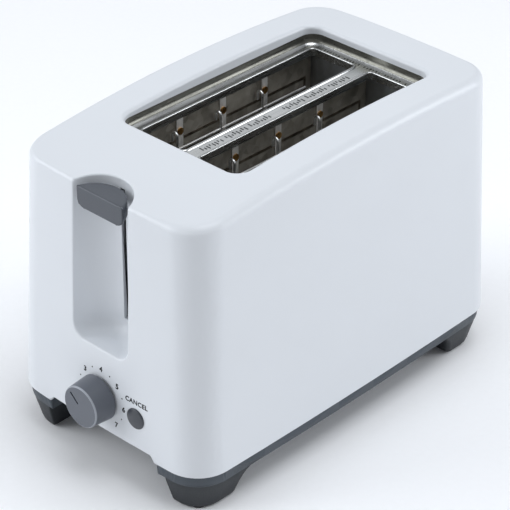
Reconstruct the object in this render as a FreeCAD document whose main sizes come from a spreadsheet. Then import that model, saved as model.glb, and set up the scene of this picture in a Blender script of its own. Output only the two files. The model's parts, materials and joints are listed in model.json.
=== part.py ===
"""Pop-up toaster, two slots, built as an assembly of separate pieces.

Frame: +Z up, millimetres. The origin is the centre of the assembly's footprint
at floor level. The control end (lever, dial and cancel button) faces -Y, the
bread slots run along Y and the width runs along X.

Sizes are set in the spreadsheet "Sizes". Places worked out from them are held
by "Derived", whose properties are bound to the sheet by expressions. Pieces are
laid out from the middle of the housing, and the whole assembly is then moved
along Y by Derived.origin_shift, so that the origin is under its middle.
"""
import FreeCAD, Part
import Sketcher
import math
import os
import re

Vector = FreeCAD.Vector
Constraint = Sketcher.Constraint
TOUCH = 0.01    # millimetres between an edge and a skin it runs along

# name, value in millimetres (draft is a ratio, counts and angles are plain)
SIZES = [
    # housing
    ("shell_length", 257.6), ("shell_width", 152.0), ("shell_bottom", 26.5),
    ("corner_round", 22.0), ("side_bow_radius", 4500.0), ("end_bow_radius", 980.0),
    ("draft", 0.04), ("wall", 2.5), ("loft_top", 192.0),
    ("top_front", 175.0), ("top_middle", 184.5), ("top_rear", 180.4),
    ("roof_side_round", 6.0), ("roof_front_round", 2.5), ("roof_rear_round", 5.0),
    ("rim_round", 2.4), ("mouth_round", 1.2),
    ("front_arch_rise", 3.7), ("front_arch_half", 41.5), ("front_arch_slope", 2.6),
    ("front_arch_round", 2.5),
    # opening in the top and the pressed metal plate in it
    ("opening_width", 91.0), ("opening_length", 157.0), ("opening_offset", 12.2),
    ("opening_round", 9.0), ("rim_bottom", 178.0), ("rim_wall", 3.0),
    ("slot_width", 33.0), ("slot_length", 140.3), ("slot_centre", 22.15),
    ("slot_offset", 13.7), ("slot_round", 3.0), ("slot_plane", 171.3),
    ("sheet_metal", 0.8), ("slot_lip", 4.0),
    # lever recess, lever and carriage
    ("recess_radius", 21.2), ("recess_bottom", 80.5), ("recess_floor_round", 9.0),
    ("recess_depth", 18.5), ("lever_slot_width", 3.6), ("lever_slot_bottom", 90.0),
    ("lever_radius", 17.8), ("lever_height", 12.5), ("lever_setback", 1.4),
    ("lever_drop", 0.8), ("lever_corner", 5.0),
    ("lever_travel", 72.0),
    ("stem_thick", 3.0), ("stem_height", 7.0),
    ("rod_radius", 2.5), ("rod_spacing", 40.0), ("rod_line", 82.0),
    ("running_gap", 0.05), ("bush_wall", 1.5), ("bush_height", 8.0),
    ("rack_thick", 2.4), ("rack_height", 6.0), ("rack_width", 23.0), ("finger_count", 7.0),
    # browning dial and cancel button on the front
    ("dial_height", 50.2), ("dial_base_radius", 13.6), ("dial_face_radius", 12.6),
    ("dial_depth", 14.0), ("dial_gap", 0.8), ("shaft_radius", 3.0),
    ("cancel_side", 27.5), ("cancel_drop", 1.5), ("cancel_radius", 4.9),
    ("cancel_proud", 1.2), ("button_gap", 0.4),
    # base and feet
    ("band_height", 7.6), ("band_inset", 0.8), ("band_taper", 1.0),
    ("pan_floor", 1.5), ("pan_rim", 7.5), ("base_setback", 16.0),
    ("foot_width", 29.0), ("foot_length", 44.0), ("foot_inset", 8.5),
    ("foot_tip_width", 12.4), ("foot_tip_length", 25.0), ("pad_height", 1.5), ("pad_round", 4.0),
    ("pad_inset", 2.0), ("post_side", 58.0), ("post_ahead", 26.0), ("post_behind", 22.0),
    ("post_radius", 4.0), ("screw_radius", 1.25), ("screw_way_radius", 1.6),
    # heating chamber
    ("chamber_gap", 3.4), ("chassis_level", 33.0), ("chassis_thick", 1.0),
    ("board_thick", 0.8), ("board_gap", 3.9), ("board_bottom", 50.0),
    ("board_top", 166.0), ("reflector_gap", 5.0),
    ("wire_radius", 0.8), ("wire_inset", 1.6), ("wire_hook", 1.9), ("wire_rail", 149.6),
    ("strip_width", 5.0), ("strip_thick", 0.4), ("strip_pitch", 34.5), ("wire_side", 7.0),
    ("eyelet_radius", 2.2), ("eyelet_level", 157.0),
    ("ribbon_width", 1.6), ("ribbon_thick", 0.2), ("ribbon_runs", 12.0),
    ("ribbon_edge", 5.0),
    # electrical parts
    ("magnet_radius", 9.0), ("magnet_height", 10.0), ("core_radius", 3.5),
    ("magnet_gap", 0.4), ("circuit_setback", 14.0), ("circuit_thick", 1.6),
    ("gland_side", 42.0), ("gland_level", 44.0), ("gland_radius", 7.0),
    ("gland_proud", 6.0), ("cord_hole", 3.4),
    # crumb tray
    ("tray_width", 104.0), ("tray_length", 168.0), ("tray_height", 3.8),
    ("tray_clearance", 0.4), ("tray_grip", 3.0),
]

# places worked out from the sizes; each may use the ones above it
DERIVED = [
    ("half_length", "shell_length / 2"),
    ("half_width", "shell_width / 2"),
    ("front_at_dial", "half_length - draft * (dial_height - shell_bottom)"),
    ("front_at_recess", "half_length - draft * (recess_bottom + top_front - 2 * shell_bottom) / 2"),
    ("rear_at_gland", "half_length - draft * (gland_level - shell_bottom)"),
    ("origin_shift", "(front_at_dial + dial_gap + dial_depth - rear_at_gland - gland_proud) / 2"),
    ("band_bottom", "shell_bottom - band_height"),
    ("recess_axis", "-(front_at_recess - recess_depth + recess_radius)"),
    ("lever_top", "top_front - lever_drop"),
    ("lever_front", "lever_setback - front_at_recess"),
    ("stem_bottom", "lever_top - lever_height + 2"),
    ("slot_front", "slot_offset - slot_length / 2"),
    ("slot_rear", "slot_offset + slot_length / 2"),
    ("chamber_front", "slot_front - chamber_gap"),
    ("chamber_rear", "slot_rear + chamber_gap"),
    ("chamber_length", "chamber_rear - chamber_front"),
    ("slot_inner", "slot_centre - slot_width / 2"),
    ("slot_outer", "slot_centre + slot_width / 2"),
    ("board_side", "slot_outer + board_gap"),
    ("chassis_top", "chassis_level + chassis_thick"),
    ("magnet_top", "chassis_top + magnet_height"),
    ("carriage_level", "magnet_top + magnet_gap + lever_travel + 1.5"),
    ("circuit_front", "-(front_at_dial - circuit_setback)"),
    ("tray_level", "band_bottom + pan_floor + tray_clearance"),
    ("post_front", "chamber_front - post_ahead"),
    ("post_rear", "chamber_rear + post_behind"),
    ("foot_x", "half_width - band_inset - band_taper - foot_inset - foot_tip_width / 2"),
    ("foot_y", "half_length - band_inset - band_taper - foot_inset - foot_tip_length / 2"),
]

SIZE_NAMES = {name for name, _ in SIZES}
DERIVED_NAMES = {name for name, _ in DERIVED}

doc = FreeCAD.newDocument("toaster")
sheet = doc.addObject("Spreadsheet::Sheet", "Sizes")
for row, (name, value) in enumerate(SIZES, start=1):
    sheet.set("A%d" % row, name)
    sheet.set("B%d" % row, str(value))
    sheet.setAlias("B%d" % row, name)
doc.recompute()
derived = doc.addObject("App::VarSet", "Derived")
scratch = doc.addObject("App::VarSet", "Scratch")
scratch.addProperty("App::PropertyFloat", "value")


def formula(text):
    """Point every size and derived name in a formula at the object that holds it."""
    def holder(match):
        word = match.group(0)
        if word in SIZE_NAMES:
            return "Sizes." + word
        if word in DERIVED_NAMES:
            return "Derived." + word
        return word
    return re.sub(r"[a-z_]+[a-z]", holder, str(text))


for name, text in DERIVED:
    derived.addProperty("App::PropertyFloat", name)
    derived.setExpression(name, formula(text))
doc.recompute()


def size(name):
    """The value of a size or of a derived place, as a plain number."""
    holder = sheet if name in SIZE_NAMES else derived
    return float(getattr(holder, name))


def tie(thing, **formulas):
    """Bind properties of an object to the sheet."""
    for prop, text in formulas.items():
        thing.setExpression(prop, formula(text))


def place(thing, x="0", y="0", z="0"):
    """Bind an object's position to the sheet."""
    thing.setExpression("Placement.Base.x", formula(x))
    thing.setExpression("Placement.Base.y", formula(y))
    thing.setExpression("Placement.Base.z", formula(z))


def box(name, x, y, z, length, width, height):
    """A block from its low corner and its three sizes."""
    thing = doc.addObject("Part::Box", name)
    tie(thing, Length=length, Width=width, Height=height)
    place(thing, x, y, z)
    return thing


TURNS = {
    "z": FreeCAD.Rotation(),
    "x": FreeCAD.Rotation(Vector(0, 1, 0), 90),
    "y": FreeCAD.Rotation(Vector(1, 0, 0), -90),
}


def rod(name, x, y, z, radius, length, axis="z"):
    """A cylinder from the middle of its low end, along one axis."""
    thing = doc.addObject("Part::Cylinder", name)
    tie(thing, Radius=radius, Height=length)
    thing.Placement.Rotation = TURNS[axis]
    place(thing, x, y, z)
    return thing


def cone(name, x, y, z, low_radius, high_radius, length, axis="z"):
    """A cone frustum from the middle of its low end, along one axis."""
    thing = doc.addObject("Part::Cone", name)
    tie(thing, Radius1=low_radius, Radius2=high_radius, Height=length)
    thing.Placement.Rotation = TURNS[axis]
    place(thing, x, y, z)
    return thing


def join(name, pieces):
    """Fuse pieces into one solid."""
    thing = doc.addObject("Part::MultiFuse", name)
    thing.Shapes = pieces
    thing.Refine = True
    return thing


def cut(name, base, tools):
    """Take tools away from a base."""
    tool = tools[0]
    if len(tools) > 1:
        tool = join(name + "_tools", tools)
    thing = doc.addObject("Part::Cut", name)
    thing.Base = base
    thing.Tool = tool
    return thing


def common(name, base, tool):
    """Keep what two solids share."""
    thing = doc.addObject("Part::Common", name)
    thing.Base = base
    thing.Tool = tool
    return thing


def plane(body, role):
    """One of a body's own origin planes."""
    for feature in body.Origin.OriginFeatures:
        if feature.Role == role:
            return feature
    raise ValueError("no plane " + role)


def new_sketch(body, name, role="XY_Plane", lift="0"):
    """An empty sketch on one of the body's planes, lifted along its normal."""
    sketch = body.newObject("Sketcher::SketchObject", name)
    sketch.AttachmentSupport = [(plane(body, role), "")]
    sketch.MapMode = "FlatFace"
    sketch.setExpression("AttachmentOffset.Base.z", formula(lift))
    return sketch


def constrain(sketch, text, *terms):
    """Add one dimension to a sketch and bind it to the sheet."""
    index = sketch.addConstraint(Constraint(*terms))
    sketch.setExpression("Constraints[%d]" % index, formula(text))


def outline_sketch(body, name, lift, inset, radius):
    """The housing's plan outline: four slightly bowed sides and four round corners.

    inset is how far it stands inside the outline at the housing's lower edge.
    """
    sketch = new_sketch(body, name, "XY_Plane", lift)
    sketch_inset = number(inset)
    corner = number(radius)
    half_x = size("half_width") - sketch_inset
    half_y = size("half_length") - sketch_inset
    side = size("side_bow_radius") - sketch_inset
    end = size("end_bow_radius") - sketch_inset
    side_centre = side - half_x
    end_centre = end - half_y
    # centre of the corner circle that touches both the side arc and the end arc
    corner_x, corner_y = half_x - corner, half_y - corner
    for _ in range(60):
        corner_x = math.sqrt((side - corner) ** 2 - corner_y ** 2) - side_centre
        corner_y = math.sqrt((end - corner) ** 2 - corner_x ** 2) - end_centre
    side_angle = math.atan2(corner_y, corner_x + side_centre)
    end_angle = math.atan2(corner_x, corner_y + end_centre)
    up = Vector(0, 0, 1)
    half = math.pi / 2
    arcs = [
        (Vector(-side_centre, 0, 0), side, -side_angle, side_angle),
        (Vector(corner_x, corner_y, 0), corner, side_angle, half - end_angle),
        (Vector(0, -end_centre, 0), end, half - end_angle, half + end_angle),
        (Vector(-corner_x, corner_y, 0), corner, half + end_angle, math.pi - side_angle),
        (Vector(side_centre, 0, 0), side, math.pi - side_angle, math.pi + side_angle),
        (Vector(-corner_x, -corner_y, 0), corner, math.pi + side_angle, 3 * half - end_angle),
        (Vector(0, end_centre, 0), end, 3 * half - end_angle, 3 * half + end_angle),
        (Vector(corner_x, -corner_y, 0), corner, 3 * half + end_angle, 4 * half - side_angle),
    ]
    for centre, bend, start, stop in arcs:
        sketch.addGeometry(Part.ArcOfCircle(Part.Circle(centre, up, bend), start, stop), False)
    for index in range(8):
        following = (index + 1) % 8
        sketch.addConstraint(Constraint("Tangent", index, 2, following, 1))
    for index in (0, 4):
        sketch.addConstraint(Constraint("PointOnObject", index, 3, -1))
        constrain(sketch, "side_bow_radius - (%s)" % inset, "Radius", index, side)
    for index in (2, 6):
        sketch.addConstraint(Constraint("PointOnObject", index, 3, -2))
        constrain(sketch, "end_bow_radius - (%s)" % inset, "Radius", index, end)
    for index in (1, 3, 5, 7):
        constrain(sketch, radius, "Radius", index, corner)
    constrain(sketch, "side_bow_radius - half_width", "DistanceX", 0, 3, -1, 1, side_centre)
    constrain(sketch, "side_bow_radius - half_width", "DistanceX", -1, 1, 4, 3, side_centre)
    constrain(sketch, "end_bow_radius - half_length", "DistanceY", 2, 3, -1, 1, end_centre)
    constrain(sketch, "end_bow_radius - half_length", "DistanceY", -1, 1, 6, 3, end_centre)
    return sketch


def number(text):
    """Work a formula out once, as a plain number, in a property kept for that."""
    scratch.setExpression("value", formula(text))
    scratch.recompute()
    return float(scratch.value)


def outline_block(name, low, high, low_inset, high_inset, low_round, high_round):
    """A block between two plan outlines at two levels."""
    body = doc.addObject("PartDesign::Body", name)
    lower = outline_sketch(body, name + "_lower", low, low_inset, low_round)
    upper = outline_sketch(body, name + "_upper", high, high_inset, high_round)
    doc.recompute()
    loft = body.newObject("PartDesign::AdditiveLoft", name + "_loft")
    loft.Profile = (lower, [""])
    loft.Sections = [(upper, [""])]
    loft.Ruled = True
    doc.recompute()
    return body


def arch_cut(body, name, drop):
    """Cut a body off above the long arch of the roof, lowered by drop."""
    sketch = new_sketch(body, name + "_profile", "YZ_Plane")
    reach = size("half_length")
    drop_now = number(drop)
    front = Vector(-reach, size("top_front") - drop_now, 0)
    middle = Vector(0, size("top_middle") - drop_now, 0)
    rear = Vector(reach, size("top_rear") - drop_now, 0)
    above = size("loft_top") + 20
    sketch.addGeometry(Part.Arc(front, middle, rear), False)
    sketch.addGeometry(Part.LineSegment(rear, Vector(reach, above, 0)), False)
    sketch.addGeometry(Part.LineSegment(Vector(reach, above, 0), Vector(-reach, above, 0)), False)
    sketch.addGeometry(Part.LineSegment(Vector(-reach, above, 0), front), False)
    sketch.addGeometry(Part.Point(middle), True)
    # the arc runs from rear to front when read anticlockwise
    start_is_rear = abs(sketch.getPoint(0, 1).x - reach) < 1e-3
    rear_end, front_end = (1, 2) if start_is_rear else (2, 1)
    sketch.addConstraint(Constraint("Coincident", 0, rear_end, 1, 1))
    sketch.addConstraint(Constraint("Coincident", 1, 2, 2, 1))
    sketch.addConstraint(Constraint("Coincident", 2, 2, 3, 1))
    sketch.addConstraint(Constraint("Coincident", 3, 2, 0, front_end))
    sketch.addConstraint(Constraint("Vertical", 1))
    sketch.addConstraint(Constraint("Vertical", 3))
    sketch.addConstraint(Constraint("Horizontal", 2))
    sketch.addConstraint(Constraint("PointOnObject", 4, 1, 0))
    sketch.addConstraint(Constraint("PointOnObject", 4, 1, -2))
    constrain(sketch, "half_length", "DistanceX", -1, 1, 0, rear_end, reach)
    constrain(sketch, "half_length", "DistanceX", 0, front_end, -1, 1, reach)
    constrain(sketch, "top_front - (%s)" % drop, "DistanceY", -1, 1, 0, front_end, front.y)
    constrain(sketch, "top_rear - (%s)" % drop, "DistanceY", -1, 1, 0, rear_end, rear.y)
    constrain(sketch, "top_middle - (%s)" % drop, "DistanceY", -1, 1, 4, 1, middle.y)
    constrain(sketch, "loft_top + 20", "DistanceY", -1, 1, 1, 2, above)
    doc.recompute()
    before = body.Shape.Volume
    pocket = body.newObject("PartDesign::Pocket", name + "_cut")
    pocket.Profile = (sketch, [""])
    pocket.Type = "ThroughAll"
    pocket.Midplane = True
    doc.recompute()
    if not body.Shape.Volume < before - 1:
        raise ValueError(name + " cuts nothing")
    return pocket


def rounded_sketch(body, name, width, length, radius, role="XY_Plane", lift="0"):
    """A rectangle with four round corners, centred on the body's origin."""
    sketch = new_sketch(body, name, role, lift)
    wide, long, bend = number(width), number(length), number(radius)
    left, right = -wide / 2, wide / 2
    low, high = -long / 2, long / 2
    up = Vector(0, 0, 1)
    half = math.pi / 2
    lines = [
        (Vector(left + bend, low, 0), Vector(right - bend, low, 0)),
        (Vector(right, low + bend, 0), Vector(right, high - bend, 0)),
        (Vector(right - bend, high, 0), Vector(left + bend, high, 0)),
        (Vector(left, high - bend, 0), Vector(left, low + bend, 0)),
    ]
    centres = [
        Vector(right - bend, low + bend, 0),
        Vector(right - bend, high - bend, 0),
        Vector(left + bend, high - bend, 0),
        Vector(left + bend, low + bend, 0),
    ]
    for start, stop in lines:
        sketch.addGeometry(Part.LineSegment(start, stop), False)
    for index, centre in enumerate(centres):
        circle = Part.Circle(centre, up, bend)
        arc = Part.ArcOfCircle(circle, (index - 1) * half, index * half)
        sketch.addGeometry(arc, False)
    for index in range(4):
        sketch.addConstraint(Constraint("Tangent", index, 2, 4 + index, 1))
        sketch.addConstraint(Constraint("Tangent", 4 + index, 2, (index + 1) % 4, 1))
    sketch.addConstraint(Constraint("Horizontal", 0))
    sketch.addConstraint(Constraint("Vertical", 1))
    sketch.addConstraint(Constraint("Horizontal", 2))
    sketch.addConstraint(Constraint("Vertical", 3))
    for index in (5, 6, 7):
        sketch.addConstraint(Constraint("Equal", 4, index))
    sketch.addConstraint(Constraint("Symmetric", 7, 3, 5, 3, -1, 1))
    constrain(sketch, radius, "Radius", 4, bend)
    constrain(sketch, width, "DistanceX", 3, 2, 1, 1, wide)
    constrain(sketch, length, "DistanceY", 0, 1, 2, 2, long)
    return sketch


def rounded_block(name, x, y, z, width, length, height, radius):
    """A block with four round upright edges, centred on x and y, from level z up."""
    body = doc.addObject("PartDesign::Body", name)
    sketch = rounded_sketch(body, name + "_plan", width, length, radius)
    pad = body.newObject("PartDesign::Pad", name + "_pad")
    pad.Profile = (sketch, [""])
    tie(pad, Length=height)
    place(body, x, y, z)
    return body


def rounded_loft(name, x, y, z, low, high, height):
    """A block between two rounded rectangles; low and high are (width, length, radius, dx, dy)."""
    body = doc.addObject("PartDesign::Body", name)
    lower = rounded_sketch(body, name + "_lower", *low[:3])
    upper = rounded_sketch(body, name + "_upper", *high[:3], "XY_Plane", height)
    upper.setExpression("AttachmentOffset.Base.x", formula(high[3]))
    upper.setExpression("AttachmentOffset.Base.y", formula(high[4]))
    doc.recompute()
    loft = body.newObject("PartDesign::AdditiveLoft", name + "_loft")
    loft.Profile = (lower, [""])
    loft.Sections = [(upper, [""])]
    loft.Ruled = True
    place(body, x, y, z)
    doc.recompute()
    return body


def capsule(name, radius, bottom, floor_round, top):
    """An upright round well with a rounded floor, turned about the recess axis."""
    body = doc.addObject("PartDesign::Body", name)
    sketch = new_sketch(body, name + "_profile", "XZ_Plane")
    wide, low = number(radius), number(bottom)
    bend, high = number(floor_round), number(top)
    corner = Part.Circle(Vector(wide - bend, low + bend, 0), Vector(0, 0, 1), bend)
    sketch.addGeometry(Part.LineSegment(Vector(0, low, 0), Vector(wide - bend, low, 0)), False)
    sketch.addGeometry(Part.ArcOfCircle(corner, -math.pi / 2, 0), False)
    sketch.addGeometry(Part.LineSegment(Vector(wide, low + bend, 0), Vector(wide, high, 0)), False)
    sketch.addGeometry(Part.LineSegment(Vector(wide, high, 0), Vector(0, high, 0)), False)
    sketch.addGeometry(Part.LineSegment(Vector(0, high, 0), Vector(0, low, 0)), False)
    sketch.addConstraint(Constraint("Tangent", 0, 2, 1, 1))
    sketch.addConstraint(Constraint("Tangent", 1, 2, 2, 1))
    sketch.addConstraint(Constraint("Coincident", 2, 2, 3, 1))
    sketch.addConstraint(Constraint("Coincident", 3, 2, 4, 1))
    sketch.addConstraint(Constraint("Coincident", 4, 2, 0, 1))
    sketch.addConstraint(Constraint("Horizontal", 0))
    sketch.addConstraint(Constraint("Vertical", 2))
    sketch.addConstraint(Constraint("Horizontal", 3))
    sketch.addConstraint(Constraint("PointOnObject", 0, 1, -2))
    sketch.addConstraint(Constraint("PointOnObject", 4, 1, -2))
    constrain(sketch, floor_round, "Radius", 1, bend)
    constrain(sketch, radius, "DistanceX", -1, 1, 2, 1, wide)
    constrain(sketch, bottom, "DistanceY", -1, 1, 0, 1, low)
    constrain(sketch, top, "DistanceY", -1, 1, 3, 2, high)
    doc.recompute()
    turn = body.newObject("PartDesign::Revolution", name + "_turn")
    turn.Profile = (sketch, [""])
    turn.ReferenceAxis = (sketch, ["V_Axis"])
    turn.Angle = 360
    place(body, "0", "recess_axis", "0")
    doc.recompute()
    return body


nodes = []


def node(thing, label):
    """Name a finished piece and move it with the whole assembly."""
    thing.Label = label
    expressions = dict(thing.ExpressionEngine)
    own = expressions.get("Placement.Base.y", expressions.get(".Placement.Base.y", "0"))
    thing.setExpression("Placement.Base.y", "(" + own + ") + Derived.origin_shift")
    nodes.append(thing)
    return thing


def shaped(label, shape):
    """A piece whose shape is made directly from the sheet's values."""
    thing = doc.addObject("Part::Feature", label)
    thing.Shape = shape
    shift = FreeCAD.Placement(Vector(0, size("origin_shift"), 0), FreeCAD.Rotation())
    thing.Placement = shift.multiply(shape.Placement)
    thing.Label = label
    nodes.append(thing)
    return thing


# --- housing -------------------------------------------------------------------

def round_edges(name, base, entries):
    """Round edges; entries are (edge number, start radius, end radius)."""
    thing = doc.addObject("Part::Fillet", name)
    thing.Base = base
    thing.Edges = entries
    doc.recompute()
    return thing


def roof_rounds(solid):
    """Roof edge radii: small at the front, larger along the sides, blended at the corners."""
    side = size("roof_side_round")
    roof_level = min(size("top_front"), size("top_rear")) - size("roof_side_round")
    entries = []
    for index, edge in enumerate(solid.Edges, start=1):
        start = edge.valueAt(edge.FirstParameter)
        stop = edge.valueAt(edge.LastParameter)
        if min(start.z, stop.z) < roof_level:
            continue
        end = size("roof_front_round") if start.y + stop.y < 0 else size("roof_rear_round")
        if abs(start.y - stop.y) > size("half_length"):
            entries.append((index, side, side))
        elif abs(start.x - stop.x) > size("half_width"):
            entries.append((index, end, end))
        elif abs(start.x) < abs(stop.x):
            entries.append((index, end, side))
        else:
            entries.append((index, side, end))
    return entries


def lies_on(edge, skin):
    """Whether an edge runs along a skin."""
    return all(Part.Vertex(point).distToShape(skin)[0] < TOUCH for point in edge.discretize(5))


def break_out(solid, outside, tool, radius):
    """Round the edges where a cutting tool breaks out through the outside skin."""
    skin = Part.Compound(outside.Faces)
    cutter = Part.Compound(tool.Faces)
    return [(index, radius, radius) for index, edge in enumerate(solid.Edges, start=1)
            if lies_on(edge, skin) and lies_on(edge, cutter)]


def front_arch():
    """Tool for the raised front edge between the feet, with sloped, rounded ends."""
    slope = doc.addObject("Part::Wedge", "front_arch_block")
    tie(slope, Xmin="-front_arch_half - front_arch_slope", Xmax="front_arch_half + front_arch_slope",
        Ymin="0", Ymax="2 * front_arch_rise", Zmin="0", Zmax="base_setback - 3",
        X2min="-front_arch_half + front_arch_slope", X2max="front_arch_half - front_arch_slope",
        Z2min="0", Z2max="base_setback - 3")
    place(slope, "0", "-half_length - 1 + base_setback - 3", "shell_bottom - front_arch_rise")
    slope.Placement.Rotation = FreeCAD.Rotation(Vector(1, 0, 0), 90)
    doc.recompute()
    upper = [(index, size("front_arch_round"), size("front_arch_round"))
             for index, edge in enumerate(slope.Shape.Edges, start=1)
             if abs(edge.Vertexes[0].Z - edge.Vertexes[-1].Z) < TOUCH
             and abs(edge.Vertexes[0].X - edge.Vertexes[-1].X) < TOUCH
             and edge.Vertexes[0].Z > size("shell_bottom")]
    return round_edges("front_arch", slope, upper)


def make_housing():
    """White moulded housing: drafted walls, arched roof, opening, lever recess."""
    outer = outline_block("housing_outer", "shell_bottom", "loft_top", "0",
                          "draft * (loft_top - shell_bottom)", "corner_round", "corner_round")
    arch_cut(outer, "roof", "0")
    outer = round_edges("roof_rounded", outer, roof_rounds(outer.Shape))
    inner = outline_block("housing_inner", "shell_bottom - 1", "loft_top", "wall - draft",
                          "wall + draft * (loft_top - shell_bottom)",
                          "corner_round - wall", "corner_round - wall")
    arch_cut(inner, "ceiling", "wall")
    rim = rounded_block("rim_outer", "0", "opening_offset", "rim_bottom",
                        "opening_width + 2 * rim_wall", "opening_length + 2 * rim_wall",
                        "20", "opening_round + rim_wall")
    boss = capsule("recess_boss", "recess_radius + wall", "recess_bottom - wall",
                   "recess_floor_round + wall", "loft_top + 5")
    dial_boss = rod("dial_boss", "0", "-half_length", "dial_height", "dial_base_radius", "0.5", "y")
    hollow = cut("hollow", inner, [rim, boss, dial_boss])
    opening = rounded_block("opening_cut", "0", "opening_offset", "rim_bottom - 1",
                            "opening_width", "opening_length", "30", "opening_round")
    recess = capsule("recess_cut", "recess_radius", "recess_bottom", "recess_floor_round",
                     "loft_top + 5")
    lever_slot = box("lever_slot", "-lever_slot_width / 2", "recess_axis", "lever_slot_bottom",
                     "lever_slot_width", "recess_radius + wall + 1",
                     "stem_bottom + stem_height + 1 - lever_slot_bottom")
    dial_hole = rod("dial_hole", "0", "-half_length - 1", "dial_height",
                    "shaft_radius + 0.5", "wall + 6", "y")
    button_hole = rod("button_hole", "cancel_side", "-half_length - 1",
                      "dial_height - cancel_drop", "cancel_radius + button_gap",
                      "wall + 6", "y")
    arch = front_arch()
    gland_hole = rod("gland_hole", "gland_side", "rear_at_gland - 8", "gland_level",
                     "gland_radius + 0.3", "16", "y")
    shell = cut("housing", outer, [hollow, opening, recess, lever_slot, dial_hole,
                                   button_hole, arch, gland_hole])
    doc.recompute()
    edges = break_out(shell.Shape, outer.Shape, opening.Shape, size("rim_round"))
    edges += break_out(shell.Shape, outer.Shape, recess.Shape, size("mouth_round"))
    shell = round_edges("housing_rounded", shell, edges)
    return node(shell, "outer_shell")


FOOT_CORNERS = [(1, -1), (1, 1), (-1, 1), (-1, -1)]


def make_base():
    """Dark moulded base: a tapered band, a rim inside the housing and four feet."""
    band = outline_block("band", "band_bottom", "shell_bottom", "band_inset + band_taper",
                         "band_inset", "corner_round - band_inset",
                         "corner_round - band_inset")
    rim = outline_block("pan_rim_block", "shell_bottom", "shell_bottom + pan_rim",
                        "wall + 0.5", "wall + 0.5 + draft * pan_rim",
                        "corner_round - wall", "corner_round - wall")
    inside = outline_block("pan_inside", "band_bottom + pan_floor",
                           "shell_bottom + pan_rim + 1", "2 * wall + 1", "2 * wall + 1",
                           "corner_round - 2 * wall", "corner_round - 2 * wall")
    bowl = cut("pan_bowl", join("pan_block", [band, rim]), [inside])
    notch = box("front_notch", "-front_arch_half - 1", "-half_length - 1", "band_bottom - 1",
                "2 * front_arch_half + 2", "base_setback + 1", "band_height + pan_rim + 5")
    front_wall = box("pan_front_wall", "-front_arch_half - 3", "base_setback - half_length",
                     "band_bottom", "2 * front_arch_half + 6", "wall",
                     "band_height + pan_rim")
    sides = []
    for index, low_x in enumerate(("front_arch_half + 1", "-front_arch_half - 1 - wall")):
        sides.append(box("notch_side_%d" % index, low_x, "2 * wall + 1 - half_length",
                         "band_bottom", "wall", "base_setback - wall", "band_height + pan_rim"))
    solid = join("pan_solid", [cut("pan_notched", bowl, [notch]), front_wall] + sides)
    tray_way = box("tray_way", "-tray_width / 2 - tray_clearance", "half_length - 12",
                   "band_bottom + pan_floor", "tray_width + 2 * tray_clearance", "20",
                   "tray_height + 2 * tray_clearance")
    feet = []
    for index, (side, end) in enumerate(FOOT_CORNERS):
        middle_x = "%d * foot_x" % side
        middle_y = "%d * foot_y" % end
        grow_x = "%d * (foot_inset - (foot_width - foot_tip_width) / 2)" % side
        grow_y = "%d * (foot_inset - (foot_length - foot_tip_length) / 2)" % end
        foot = rounded_loft("foot_%d" % (index + 1), middle_x, middle_y, "pad_height",
                            ("foot_tip_width", "foot_tip_length", "6", "0", "0"),
                            ("foot_width", "foot_length", "12", grow_x, grow_y),
                            "band_bottom + pan_floor / 2 - pad_height")
        feet.append(foot)
    # the feet keep inside the housing's outline at the round corners
    limit = outline_block("foot_limit", "pad_height", "band_bottom + pan_floor",
                          "band_inset + band_taper + foot_inset",
                          "band_inset + band_taper - 0.2", "corner_round - 8",
                          "corner_round - band_inset - 1")
    toes = common("toes", join("foot_set", feet), limit)
    posts = []
    holes = []
    for index, (side, end) in enumerate(FOOT_CORNERS):
        post_y = "post_front" if end < 0 else "post_rear"
        posts.append(rod("post_%d" % index, "%d * post_side" % side, post_y,
                         "band_bottom + 0.5", "post_radius",
                         "chassis_level - band_bottom - 0.5"))
        holes.append(rod("post_hole_%d" % index, "%d * post_side" % side, post_y,
                         "chassis_level - 8", "screw_radius + 0.1", "9"))
    solid = join("pan_with_feet", [solid, toes] + posts)
    pan = cut("pan", solid, [tray_way] + holes)
    doc.recompute()
    return node(pan, "base_pan")


def make_foot_pads():
    """Four rubber pads under the feet."""
    for index, (side, end) in enumerate(FOOT_CORNERS):
        middle_x = "%d * foot_x" % side
        middle_y = "%d * foot_y" % end
        pad = rounded_block("pad_%d" % (index + 1), middle_x, middle_y, "0",
                            "foot_tip_width - 2 * pad_inset", "foot_tip_length - 2 * pad_inset",
                            "pad_height", "pad_round")
        node(pad, "foot_pad_%d" % (index + 1))


# --- heating chamber -------------------------------------------------------------

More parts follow.
